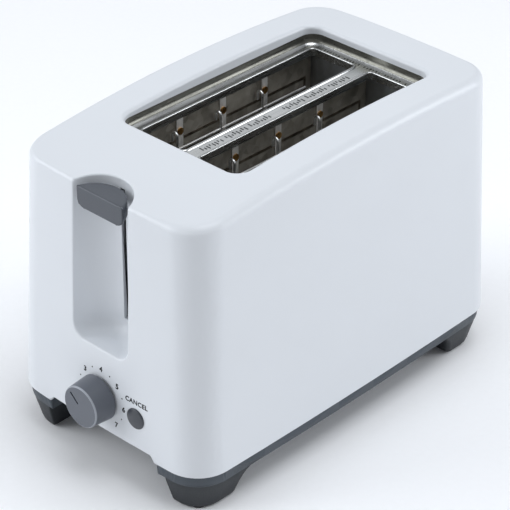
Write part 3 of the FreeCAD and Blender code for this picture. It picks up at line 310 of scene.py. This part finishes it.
def make_finishes(colours):
    """Every finish by the frame's material slot, and the extra ones by their own names."""
    housing, trim = tuple(colours.housing), tuple(colours.trim)
    lever, dial = tuple(colours.lever), tuple(colours.dial)
    FINISHES.update({
        # ABS from a polished tool: even, clean and softly glossy
        "white_plastic": moulded("ABS, white, moulded satin", housing, 0.36, 1.2 * MM,
                                 0.000006, 0.01),
        # polypropylene from an eroded tool: dark, dry and finely grained
        "dark_plastic": moulded("Polypropylene, slate, moulded grain", trim, 0.46, 0.9 * MM,
                                0.00003),
        # the feet: the base resin painted much darker, as painted shade where the feet stand in
        # shadow under the band
        "foot_plastic": moulded("Polypropylene, slate, darkened for painted shade", tint(trim, 0.30), 0.52,
                                0.9 * MM, 0.00003),
        # the same resin a little lighter and smoother, where fingers touch it
        "lever_plastic": moulded("Polypropylene, dark grey, fine grain", lever, 0.42,
                                 0.8 * MM, 0.00002),
        "dial_plastic": moulded("Polypropylene, grey, fine grain", dial, 0.40, 0.8 * MM, 0.00002),
        # the button is a shade darker and a little glossier
        "button_plastic": moulded("Polypropylene, dark grey, satin", tint(lever, 0.62), 0.32,
                                  0.8 * MM, 0.00001),
        # edges painted lighter: a painted highlight along the rounds
        "edge_highlight_paint": moulded("Polypropylene, painted edge highlight", linear("9A9EA5"), 0.34,
                               0.8 * MM, 0.00001),
        # nickel plating over pressed steel: warm grey, bright along its edges
        "chrome_plate": rolled("Pressed steel, nickel plated", linear("C8C9C8"), 0.28,
                               depth=0.000008),
        # the same plating made darker on the basin's wall: a painted reflection of the dark slots
        "plate_wall_painted_reflection": rolled("Pressed steel, darkened for painted reflection", linear("77766F"), 0.34),
        # the struck marks painted dark: painted shadow in their hollows
        "mark_shadow": rolled("Struck marks, painted shadow", linear("4A4B4B"), 0.42),
        # hot-dip zinc: cool blue grey with soft streaks
        "zinc_steel": rolled("Galvanised sheet steel", linear("C6CACE"), 0.42, (1.0, 1.0, 9.0),
                             2.5 * MM, 0.00003, 0.10),
        "mica": mica_board(),
        # nickel-chrome ribbon after many firings: brown and blue-grey bands
        "ribbon": oxidised("Nickel-chrome ribbon, fired", "4E443A", "8C8274", 0.42),
        # plain rolled strip: bright and faintly lined
        "clip_steel": rolled("Rolled steel strip", linear("F4F2EE"), 0.62, (1.0, 1.0, 10.0)),
        # riveted brass, browned by heat
        "brass": oxidised("Brass rivets, heat browned", "7A5228", "C59A5C", 0.34),
        # cold-drawn wire: bright lines along its length
        "wire_steel": rolled("Cold-drawn steel wire", linear("F2F2F0"), 0.36, (1.0, 8.0, 1.0)),
        # small turned screws: plain grey, no lay
        "screw_steel": rolled("Zinc-plated screws", linear("B4B6B8"), 0.3, (1.0, 1.0, 1.0)),
        # nitrile rubber: near black and dull
        "rubber": moulded("Nitrile rubber pads", linear("1C1D1F"), 0.72, 1.1 * MM, 0.00005),
        "circuit": laminate(),
        "coil_wire": winding(),
        "ink": printed_ink(tuple(colours.ink)),
        "floor": studio_floor(tuple(colours.floor)),
    })


# --- mesh helpers ------------------------------------------------------------------

def node_mesh(name):
    """A merged copy of a frame node's mesh, as a bmesh."""
    mesh = bmesh.new()
    mesh.from_mesh(frame["nodes"][name].data)
    bmesh.ops.remove_doubles(mesh, verts=mesh.verts, dist=LEVEL)
    return mesh


def piece(name, mesh, body, kind, stands_for=(), outward=True, sharp=SHARP):
    """Finish a bmesh as a named object that rides on a body."""
    if outward:
        bmesh.ops.recalc_face_normals(mesh, faces=mesh.faces)
    for face in mesh.faces:
        face.smooth = True
    data = bpy.data.meshes.new(name)
    mesh.to_mesh(data)
    mesh.free()
    data.set_sharp_from_angle(angle=sharp)
    data.materials.append(FINISHES[kind])
    thing = bpy.data.objects.new(name, data)
    bpy.context.collection.objects.link(thing)
    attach(thing, body)
    if stands_for:
        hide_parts(*stands_for)
    return thing


def weigh_normals(thing):
    """Let large faces rule the shading, so that rounds flow into flats."""
    modifier = thing.modifiers.new("Weighted normals", "WEIGHTED_NORMAL")
    modifier.mode = "FACE_AREA_WITH_ANGLE"
    modifier.weight = 50
    modifier.keep_sharp = True


def turned(profile, place, axis="y"):
    """A shape turned from (radius, along) points about an axis through place, as a bmesh."""
    mesh = bmesh.new()
    points = [mesh.verts.new((radius, along, 0.0)) for radius, along in profile]
    edges = [mesh.edges.new(pair) for pair in zip(points, points[1:])]
    bmesh.ops.spin(mesh, geom=points + edges, cent=(0, 0, 0), axis=(0, 1, 0), dvec=(0, 0, 0),
                   angle=2 * math.pi, steps=LATHE_STEPS, use_merge=True, use_duplicate=False)
    bmesh.ops.remove_doubles(mesh, verts=mesh.verts, dist=MERGE)
    if axis == "z":
        bmesh.ops.rotate(mesh, verts=mesh.verts, cent=(0, 0, 0),
                         matrix=Matrix.Rotation(math.pi / 2, 3, "X"))
    bmesh.ops.translate(mesh, verts=mesh.verts, vec=place)
    return mesh


def quarter(centre, radius, start, stop, steps=ARC_STEPS):
    """Points (radius, along) of an arc, its angles in degrees."""
    turns = [math.radians(start + (stop - start) * step / steps) for step in range(steps + 1)]
    return [(centre[0] + radius * math.cos(turn), centre[1] + radius * math.sin(turn))
            for turn in turns]


def ring(mesh, low_x, high_x, low_y, high_y, level, radii):
    """A level ring with its four corners rounded; returns its edges.

    The radii follow the corners (low, low), (high, low), (high, high), (low, high).
    """
    corners = ((low_x, low_y), (high_x, low_y), (high_x, high_y), (low_x, high_y))
    before = set(mesh.edges)
    verts = [mesh.verts.new((x, y, level)) for x, y in corners]
    mesh.faces.new(verts)
    for vert, radius in zip(verts, radii):
        bmesh.ops.bevel(mesh, geom=[vert], offset=radius, offset_type="OFFSET",
                        segments=ARC_STEPS, profile=0.5, affect="VERTICES", material=-1,
                        clamp_overlap=False)
    edges = [edge for edge in mesh.edges if edge not in before]
    faces = {face for edge in edges for face in edge.link_faces}
    bmesh.ops.delete(mesh, geom=list(faces), context="FACES_ONLY")
    return edges


def skin(mesh, rings):
    """Bridge neighbouring rings with quads."""
    for lower, upper in zip(rings, rings[1:]):
        bmesh.ops.bridge_loops(mesh, edges=lower + upper)


def tree_of(name):
    """A search tree over a frame node's surface."""
    mesh = node_mesh(name)
    tree = BVHTree.FromBMesh(mesh)
    mesh.free()
    return tree


# --- pieces --------------------------------------------------------------------------

def build_housing():
    """The white housing, smoothed over the frame's own shape."""
    shell = piece("housing_moulding", node_mesh("outer_shell"), "housing", "white_plastic",
                  ("outer_shell",), outward=False)
    weigh_normals(shell)


def build_base(sizes):
    """The slate base band and its four curved feet."""
    mesh = node_mesh("base_pan")
    cut = bmesh.ops.bisect_plane(mesh, geom=mesh.verts[:] + mesh.edges[:] + mesh.faces[:],
                                 plane_co=(0, 0, sizes.band_bottom - BAND_SPARE),
                                 plane_no=(0, 0, 1), clear_inner=True, dist=MERGE)
    rims = [item for item in cut["geom_cut"] if isinstance(item, bmesh.types.BMEdge)]
    bmesh.ops.holes_fill(mesh, edges=rims, sides=0)
    band = piece("base_moulding", mesh, "housing", "dark_plastic", ("base_pan",))
    weigh_normals(band)
    for index in (1, 2, 3, 4):
        build_foot(index)


# level above the floor, then how far the foot reaches past its tip on its outer sides,
# on its inner side and along the base, in millimetres
FOOT_LEVELS = (
    (0.3, 0.2, 3.0, -1.6), (0.8, 1.3, 4.2, 0.0), (1.7, 2.1, 4.8, 1.0),
    (3.0, 2.7, 5.2, 1.8), (6.0, 3.5, 5.6, 2.8), (10.0, 4.6, 6.0, 4.2),
    (13.5, 5.6, 6.4, 6.0), (16.0, 6.2, 6.7, 8.4), (17.6, 6.5, 6.8, 11.0),
    (18.5, 6.6, 6.9, 13.4), (19.0, 6.7, 7.0, 15.4), (21.0, 6.7, 7.0, 15.6))
BAND_SPARE = 0.02 * MM               # the band's cut stands this far under its lower edge
TIP_MARGIN = 2.0 * MM                # the foot's tip stands this far outside its rubber pad
FOOT_BIG = 14.0 * MM                 # corner radius of the tip on the outer corner
FOOT_SMALL, FOOT_TIGHT = 2.4 * MM, 0.8 * MM      # the same on the inner corners
FOOT_SPARE = 0.2 * MM                # straight edge left between two corners


def build_foot(index):
    """One foot: a tapered block that flows into the band with a hollow curve."""
    pad_low, pad_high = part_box("foot_pad_%d" % index)
    base_low, base_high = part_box("base_pan")
    side = 1 if pad_low.x > 0 else -1
    end = 1 if pad_low.y > (base_low.y + base_high.y) / 2 else -1
    margin = Vector((TIP_MARGIN, TIP_MARGIN))
    tip_low, tip_high = pad_low.xy - margin, pad_high.xy + margin
    mesh = bmesh.new()
    rings = []
    for level, outward, inward, along in FOOT_LEVELS:
        grow = {side: outward * MM, -side: inward * MM}
        x0, x1 = tip_low.x - grow[-1], tip_high.x + grow[1]
        grow = {end: outward * MM, -end: along * MM}
        y0, y1 = tip_low.y - grow[-1], tip_high.y + grow[1]
        big = min(FOOT_BIG + outward * MM, x1 - x0 - FOOT_TIGHT - FOOT_SPARE)
        chosen = {(side, end): big, (-side, end): FOOT_TIGHT}
        radii = [chosen.get(corner, FOOT_SMALL)
                 for corner in ((-1, -1), (1, -1), (1, 1), (-1, 1))]
        rings.append(ring(mesh, x0, x1, y0, y1, level * MM, radii))
    skin(mesh, rings)
    for loop in (rings[0], rings[-1]):
        bmesh.ops.contextual_create(mesh, geom=loop)
    # the feet take the darkened finish: painted shade
    foot = piece("foot_%d" % index, mesh, "housing", "foot_plastic")
    weigh_normals(foot)


def build_top_plate(sizes):
    """The pressed plate: a wall, a hollow cove, a flat floor and two beaded slots."""
    low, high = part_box("top_plate")
    flange = PLATE_WALL - PLATE_GAP
    inner_low = low.xy + Vector((flange, flange))
    inner_high = high.xy - Vector((flange, flange))
    floor_level = high.z - PLATE_DROP
    cove, bead = sizes.cove, sizes.bead
    mesh = bmesh.new()

    def frame_ring(inset, level):
        """A ring inset from the plate's inner wall."""
        return ring(mesh, inner_low.x + inset, inner_high.x - inset, inner_low.y + inset,
                    inner_high.y - inset, level, [max(PLATE_CORNER - inset, LEAST_CORNER)] * 4)

    rings = [frame_ring(-flange, high.z), frame_ring(0.0, high.z),
             frame_ring(0.0, floor_level + cove)]
    for along, rise in quarter((cove, cove), cove, 180, 270)[1:]:
        rings.append(frame_ring(along, floor_level + rise))
    skin(mesh, rings)
    edges = list(rings[-1])
    for side in (1, -1):
        x0, x1 = sorted((side * SLOT_NEAR, side * SLOT_FAR))
        y0, y1 = slot_ends()

        def slot_ring(out, level):
            """A ring outside a slot's edge."""
            return ring(mesh, x0 - out, x1 + out, y0 - out, y1 + out, level,
                        [SLOT_CORNER + out] * 4)

        # the bead rises from the floor, rolls over and turns down into the slot
        collar = [slot_ring(bead * 1.3, floor_level)]
        for out, rise in quarter((0.5 * bead, 0.0), 0.62 * bead, 30, 180):
            collar.append(slot_ring(max(out, -0.1 * MM), floor_level + rise + 0.1 * bead))
        collar.append(slot_ring(0.0, floor_level - SLOT_LIP))
        skin(mesh, collar)
        edges += collar[0]
    bmesh.ops.triangle_fill(mesh, edges=edges, use_beauty=True, use_dissolve=False,
                            normal=(0, 0, 1))
    bmesh.ops.recalc_face_normals(mesh, faces=mesh.faces)
    up = sum(face.normal.z * face.calc_area() for face in mesh.faces)
    if up < 0:
        bmesh.ops.reverse_faces(mesh, faces=mesh.faces)
    plate = piece("top_plate_pressing", mesh, "housing", "chrome_plate", ("top_plate",),
                  outward=False, sharp=SHARP_PRESSING)
    plate.data.materials.append(FINISHES["plate_wall_painted_reflection"])
    reach = cove * 0.7       # the darker wall, its painted reflection, ends this far down the cove
    # faces of the wall take the darker plating: painted reflection
    for face in plate.data.polygons:
        centre = face.center
        outside = (centre.x < inner_low.x + reach or centre.x > inner_high.x - reach
                   or centre.y < inner_low.y + reach or centre.y > inner_high.y - reach)
        if outside and centre.z > floor_level + 0.25 * cove:
            face.material_index = 1
    solid = plate.modifiers.new("Sheet", "SOLIDIFY")
    solid.thickness = sizes.plate
    solid.offset = -1.0
    weigh_normals(plate)


def slot_ends():
    """Where the bread slots begin and end along Y."""
    plate_low, plate_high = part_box("top_plate")
    return plate_low.y + SLOT_FRONT, plate_high.y - SLOT_REAR


STROKES = (3.4, 2.2, 3.4, 1.5, 3.0, 3.4, 1.8, 2.6)      # lengths of the struck marks, in mm
BAR_STROKES, BAR_PITCH = 26, 2.1 * MM                    # two runs along the centre bar
BAR_STARTS = (9 * MM, 74 * MM)                           # from the front end of the slots
STRIP_STROKES, STRIP_PITCH = 30, 2.2 * MM                # one run behind the slots
STRIP_START, STRIP_BEHIND = -32 * MM, 2.9 * MM           # across, and behind the slots' end
STROKE_WIDTH, STROKE_HEIGHT = 0.7, 0.5                   # in mm
STROKE_EDGE = 0.15 * MM


def build_stamped_marks():
    """Plain strokes stamped on the centre bar and on the strip behind the slots, dark with painted
    shadow.
    """
    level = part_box("top_plate")[1].z - PLATE_DROP
    front, rear = slot_ends()
    mesh = bmesh.new()
    marks = []
    for group, start in enumerate(BAR_STARTS):
        for step in range(BAR_STROKES):
            if step % 9 != 8:        # a gap after every eighth stroke
                side = 0.5 * MM if step % 3 else -0.6 * MM
                marks.append((side, front + start + step * BAR_PITCH, 0.0,
                              STROKES[(step + group) % len(STROKES)]))
    for step in range(STRIP_STROKES):
        if step % 7 != 6:            # a gap after every sixth stroke
            marks.append((STRIP_START + step * STRIP_PITCH, rear + STRIP_BEHIND, math.pi / 2,
                          STROKES[step % len(STROKES)] * 0.7))
    for x, y, turn, tall in marks:
        made = bmesh.ops.create_cube(mesh, size=1.0)["verts"]
        shape = Matrix.Diagonal((tall * MM, STROKE_WIDTH * MM, STROKE_HEIGHT * MM, 1.0))
        place = Matrix.Translation((x, y, level)) @ Matrix.Rotation(turn, 4, "Z")
        bmesh.ops.transform(mesh, matrix=place @ shape, verts=made)
    bmesh.ops.bevel(mesh, geom=mesh.edges[:], offset=STROKE_EDGE, offset_type="OFFSET",
                    segments=1, profile=0.5, affect="EDGES", material=-1)
    piece("stamped_marks", mesh, "housing", "mark_shadow")


def polish(thing, faces):
    """Give faces a lighter finish of their own: a painted highlight."""
    thing.data.materials.append(FINISHES["edge_highlight_paint"])
    for face in faces:
        face.material_index = 1


def build_lever(sizes):
    """The lever's finger piece: a turned puck cut flat in front, its top edges given a painted
    highlight.
    """
    low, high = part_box("lever_knob")
    depth, half = high.y - low.y, (high.x - low.x) / 2
    radius = (depth + half * half / depth) / 2
    edge, under = sizes.lever_edge, sizes.lever_under
    profile = [(0.0, low.z)] + quarter((radius - under, low.z + under), under, -90, 0, 8)
    profile += quarter((radius - edge, high.z - edge), edge, 0, 90, 4) + [(0.0, high.z)]
    mesh = turned(profile, (0.0, high.y - radius, 0.0), "z")
    cut = bmesh.ops.bisect_plane(mesh, geom=mesh.verts[:] + mesh.edges[:] + mesh.faces[:],
                                 plane_co=(0, low.y, 0), plane_no=(0, 1, 0),
                                 clear_inner=True, dist=MERGE)
    rim = [item for item in cut["geom_cut"] if isinstance(item, bmesh.types.BMEdge)]
    bmesh.ops.contextual_create(mesh, geom=rim)
    bmesh.ops.bevel(mesh, geom=rim, offset=edge * 0.85, offset_type="OFFSET", segments=3,
                    profile=0.5, affect="EDGES", material=-1, clamp_overlap=False)
    lever = piece("lever_finger_piece", mesh, "carriage", "lever_plastic", ("lever_knob",))
    polish(lever, [face for face in lever.data.polygons
                   if face.center.z > high.z - edge and 0.2 < face.normal.z < 0.97])
    weigh_normals(lever)


def lies_flat(face):
    """Whether a face of the dial, before it is placed, lies in its flat front."""
    return all(abs(vert.co.y) < LEVEL for vert in face.verts)


def build_dial(sizes):
    """The browning dial: a drafted skirt, a rounded rim and a grooved face."""
    low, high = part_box("browning_dial")
    centre = (low + high) / 2
    base, depth = (high.x - low.x) / 2, high.y - low.y
    face = base - DIAL_DRAFT
    edge = sizes.dial_edge
    profile = [(0.0, depth), (base - DIAL_ROUND, depth), (base, depth - DIAL_ROUND)]
    profile += quarter((face - edge, edge), edge, 4, -90) + [(0.0, 0.0)]
    mesh = turned(profile, (0.0, 0.0, 0.0))
    # the groove: slice the flat face, then press the strip in
    half, inner, outer = sizes.pointer / 2, GROOVE_START, face - GROOVE_STOP
    for point, normal in (((half, 0, 0), (1, 0, 0)), ((-half, 0, 0), (1, 0, 0)),
                          ((0, 0, inner), (0, 0, 1)), ((0, 0, outer), (0, 0, 1))):
        faces = [f for f in mesh.faces if lies_flat(f)]
        edges = list({e for f in faces for e in f.edges})
        verts = list({v for f in faces for v in f.verts})
        bmesh.ops.bisect_plane(mesh, geom=verts + edges + faces, plane_co=point,
                               plane_no=normal, dist=MERGE)
    strip = [f for f in mesh.faces
             if lies_flat(f) and abs(f.calc_center_median().x) < half
             and inner < f.calc_center_median().z < outer]
    pressed = bmesh.ops.extrude_face_region(mesh, geom=strip)
    moved = [item for item in pressed["geom"] if isinstance(item, bmesh.types.BMVert)]
    bmesh.ops.translate(mesh, verts=moved, vec=(0, GROOVE_DEPTH, 0))
    bmesh.ops.delete(mesh, geom=[f for f in strip if f.is_valid], context="FACES")
    bmesh.ops.rotate(mesh, verts=mesh.verts, cent=(0, 0, 0),
                     matrix=Matrix.Rotation(-DIAL_REST, 3, "Y"))
    bmesh.ops.translate(mesh, verts=mesh.verts, vec=(centre.x, low.y, centre.z))
    dial = piece("browning_dial_knob", mesh, "dial", "dial_plastic", ("browning_dial",))
    # the rounded rim gets the lighter finish: a painted highlight
    edge_highlight_faces = []
    for part in dial.data.polygons:
        behind = [dial.data.vertices[index].co.y - low.y for index in part.vertices]
        if behind[0] > 0.02 * MM and max(behind) < edge * 1.2 and abs(part.normal.y) < 0.97:
            edge_highlight_faces.append(part)
    polish(dial, edge_highlight_faces)
    weigh_normals(dial)


def build_cancel_button(sizes):
    """The cancel button with a low dome."""
    low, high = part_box("cancel_button")
    radius, depth = (high.x - low.x) / 2, high.y - low.y
    edge, dome = BUTTON_EDGE, sizes.dome
    rim = radius - edge
    profile = [(0.0, depth), (radius, depth)] + quarter((rim, dome + edge), edge, 0, -70)
    profile += [(rim * (1 - step / ARC_STEPS), dome * (1 - step / ARC_STEPS) ** 2)
                for step in range(1, ARC_STEPS + 1)]
    centre = (low + high) / 2
    mesh = turned(profile, (centre.x, low.y, centre.z))
    button = piece("cancel_button_cap", mesh, "cancel", "button_plastic", ("cancel_button",))
    weigh_normals(button)


def laid(mesh, tree, x, z):
    """Lay flat letters, drawn in X and Y, on the front wall at a place."""
    spot, normal, _, _ = tree.ray_cast(Vector((x, -1.0, z)), Vector((0, 1, 0)))
    if spot is None:
        raise RuntimeError("no front wall at %.4f, %.4f" % (x, z))
    across = Vector((0, 0, 1)).cross(normal).normalized()
    upward = normal.cross(across).normalized()
    matrix = Matrix((across, upward, normal)).transposed().to_4x4()
    matrix.translation = spot
    bmesh.ops.transform(mesh, matrix=matrix, verts=mesh.verts)


def letters(text, height, thick, weight):
    """A word as a thin solid bmesh, centred, drawn in X and Y; weight thickens its strokes."""
    curve = bpy.data.curves.new(text, "FONT")
    curve.body = text
    curve.size = height / CAPITAL
    curve.align_x, curve.align_y = "CENTER", "CENTER"
    curve.extrude = thick
    curve.resolution_u = 4
    curve.offset = weight * height
    curve.space_character = LETTER_SPACING
    holder = bpy.data.objects.new(text, curve)
    bpy.context.collection.objects.link(holder)
    bpy.context.view_layer.update()
    flat = bpy.data.meshes.new_from_object(holder)
    mesh = bmesh.new()
    mesh.from_mesh(flat)
    bpy.data.objects.remove(holder)
    bpy.data.curves.remove(curve)
    bpy.data.meshes.remove(flat)
    bmesh.ops.remove_doubles(mesh, verts=mesh.verts, dist=MERGE)
    return mesh


def build_legends(sizes):
    """Browning numbers, the dots between them and the button's legend."""
    tree = tree_of("outer_shell")
    dial_low, dial_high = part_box("browning_dial")
    button_low, button_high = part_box("cancel_button")
    middle = (dial_low + dial_high) / 2
    button = (button_low + button_high) / 2
    radius = (dial_high.x - dial_low.x) / 2 + NUMBER_GAP
    middle.x += NUMBER_SHIFT

    def ring_place(number):
        """The place of a number, or of a half number between two, round the dial; 4 is on top."""
        turn = math.pi / 2 + (4 - number) * NUMBER_STEP
        return middle.x + radius * math.cos(turn), middle.z + radius * math.sin(turn)

    for number in range(1, 8):
        mesh = letters(str(number), sizes.digit, sizes.ink, NUMBER_WEIGHT)
        laid(mesh, tree, *ring_place(number))
        piece("number_%d" % number, mesh, "housing", "ink")
    for number in range(1, 7):
        mesh = bmesh.new()
        bmesh.ops.create_cone(mesh, cap_ends=True, segments=16, radius1=DOT_RADIUS,
                              radius2=DOT_RADIUS, depth=2 * sizes.ink)
        laid(mesh, tree, *ring_place(number + 0.5))
        piece("dot_%d" % number, mesh, "housing", "ink")
    mesh = letters("CANCEL", sizes.legend, sizes.ink, LEGEND_WEIGHT)
    laid(mesh, tree, button.x + LEGEND_RIGHT, button.z + LEGEND_UP)
    piece("button_legend", mesh, "housing", "ink")


def finish_nodes():
    """Give every frame node the finish of its material slot."""
    for part in frame["record"]["subparts"]:
        thing = frame["nodes"][part["node"]]
        if not thing.material_slots:
            thing.data.materials.append(FINISHES[part["material_slot"]])
        for entry in thing.material_slots:
            entry.material = FINISHES[part["material_slot"]]


# --- stage ----------------------------------------------------------------------------

# name, place in metres, width in metres, power in watts
SOFTBOXES = (
    ("front softbox", (-1.4, -1.4, 1.0), 1.6, 29.0),
    ("overhead softbox", (0.45, 0.1, 1.95), 1.2, 17.0),
    ("side softbox", (1.2, 1.25, 0.65), 0.9, 12.2),
    ("rear softbox", (-1.2, 1.25, 1.1), 1.2, 2.4))
LIGHT_TARGET = Vector((0.0, 0.0, 0.09))
WORLD_STRENGTH = 0.38
CAMERA_TARGET = Vector((-1.679, 0.566, 84.07)) * MM
CAMERA_DISTANCE = 1.21596
CAMERA_TURN, CAMERA_RISE, CAMERA_ROLL = 43.245, 32.033, 0.399     # degrees
CAMERA_LENS, CAMERA_SENSOR = 149.95, 36.0                        # millimetres


def build_stage(colours):
    """A pale floor, soft lights and the camera."""
    scene = bpy.context.scene
    scene.view_settings.view_transform = "Standard"
    mesh = bmesh.new()
    bmesh.ops.create_grid(mesh, x_segments=1, y_segments=1, size=6.0)
    data = bpy.data.meshes.new("floor")
    mesh.to_mesh(data)
    mesh.free()
    data.materials.append(FINISHES["floor"])
    floor = bpy.data.objects.new("floor", data)
    bpy.context.collection.objects.link(floor)

    world = bpy.data.worlds.new("soft studio")
    world.use_nodes = True
    background = world.node_tree.nodes["Background"]
    background.inputs["Color"].default_value = linear("F3F6FA")
    background.inputs["Strength"].default_value = WORLD_STRENGTH
    scene.world = world

    for name, place, size, power in SOFTBOXES:
        light = bpy.data.lights.new(name, "AREA")
        light.color = linear("F6FAFF")[:3]
        light.shape, light.size, light.energy = "SQUARE", size, power
        lamp = bpy.data.objects.new(name, light)
        lamp.location = place
        lamp.rotation_mode = "QUATERNION"
        lamp.rotation_quaternion = (LIGHT_TARGET - Vector(place)).to_track_quat("-Z", "Y")
        bpy.context.collection.objects.link(lamp)

    turn, rise = math.radians(CAMERA_TURN), math.radians(CAMERA_RISE)
    back = Vector((math.sin(turn) * math.cos(rise), -math.cos(turn) * math.cos(rise),
                   math.sin(rise)))
    data = bpy.data.cameras.new("camera")
    data.lens, data.sensor_width = CAMERA_LENS, CAMERA_SENSOR
    data.clip_start, data.clip_end = 0.1, 20.0
    camera = bpy.data.objects.new("camera", data)
    camera.location = CAMERA_TARGET + back * CAMERA_DISTANCE
    camera.rotation_mode = "QUATERNION"
    roll = Quaternion((0, 0, 1), math.radians(CAMERA_ROLL))
    camera.rotation_quaternion = (-back).to_track_quat("-Z", "Y") @ roll
    bpy.context.collection.objects.link(camera)
    scene.camera = camera


# --- add-on ------------------------------------------------------------------------------

class TOASTER_OT_finishes(bpy.types.Operator):
    """Make the finishes and put them on the frame's own pieces"""
    bl_idname = "toaster.finishes"
    bl_label = "Finishes"

    def execute(self, context):
        make_finishes(context.scene.toaster_colours)
        finish_nodes()
        return {"FINISHED"}


class TOASTER_OT_housing(bpy.types.Operator):
    """Build the white housing"""
    bl_idname = "toaster.housing"
    bl_label = "Housing"

    def execute(self, context):
        build_housing()
        return {"FINISHED"}


class TOASTER_OT_base(bpy.types.Operator):
    """Build the base band and its feet"""
    bl_idname = "toaster.base"
    bl_label = "Base and feet"

    def execute(self, context):
        build_base(context.scene.toaster_sizes)
        return {"FINISHED"}


class TOASTER_OT_top_plate(bpy.types.Operator):
    """Build the pressed top plate and its stamped marks"""
    bl_idname = "toaster.top_plate"
    bl_label = "Top plate"

    def execute(self, context):
        build_top_plate(context.scene.toaster_sizes)
        build_stamped_marks()
        return {"FINISHED"}


class TOASTER_OT_controls(bpy.types.Operator):
    """Build the lever, the browning dial and the cancel button"""
    bl_idname = "toaster.controls"
    bl_label = "Controls"

    def execute(self, context):
        build_lever(context.scene.toaster_sizes)
        build_dial(context.scene.toaster_sizes)
        build_cancel_button(context.scene.toaster_sizes)
        return {"FINISHED"}


class TOASTER_OT_legends(bpy.types.Operator):
    """Print the numbers, the dots and the button's legend"""
    bl_idname = "toaster.legends"
    bl_label = "Legends"

    def execute(self, context):
        build_legends(context.scene.toaster_sizes)
        return {"FINISHED"}


class TOASTER_OT_stage(bpy.types.Operator):
    """Build the floor, the lights and the camera"""
    bl_idname = "toaster.stage"
    bl_label = "Stage"

    def execute(self, context):
        build_stage(context.scene.toaster_colours)
        return {"FINISHED"}


OPERATORS = (TOASTER_OT_finishes, TOASTER_OT_housing, TOASTER_OT_base, TOASTER_OT_top_plate,
             TOASTER_OT_controls, TOASTER_OT_legends, TOASTER_OT_stage)


class TOASTER_PT_panel(bpy.types.Panel):
    """The toaster's builders, sizes and colours"""
    bl_label = "Toaster"
    bl_idname = "TOASTER_PT_panel"
    bl_space_type = "VIEW_3D"
    bl_region_type = "UI"
    bl_category = "Toaster"

    def draw(self, context):
        for group in (context.scene.toaster_colours, context.scene.toaster_sizes):
            for name in group.bl_rna.properties.keys():
                if name not in {"rna_type", "name"}:
                    self.layout.prop(group, name)
        for kind in OPERATORS:
            self.layout.operator(kind.bl_idname)


CLASSES = (ToasterColours, ToasterSizes) + OPERATORS + (TOASTER_PT_panel,)


def register():
    for kind in CLASSES:
        bpy.utils.register_class(kind)
    bpy.types.Scene.toaster_colours = PointerProperty(type=ToasterColours)
    bpy.types.Scene.toaster_sizes = PointerProperty(type=ToasterSizes)


def unregister():
    del bpy.types.Scene.toaster_sizes
    del bpy.types.Scene.toaster_colours
    for kind in reversed(CLASSES):
        bpy.utils.unregister_class(kind)


def main():
    """Build everything in order."""
    register()
    bpy.ops.toaster.finishes()
    bpy.ops.toaster.housing()
    bpy.ops.toaster.base()
    bpy.ops.toaster.top_plate()
    bpy.ops.toaster.controls()
    bpy.ops.toaster.legends()
    bpy.ops.toaster.stage()


if __name__ == "__main__":
    main()
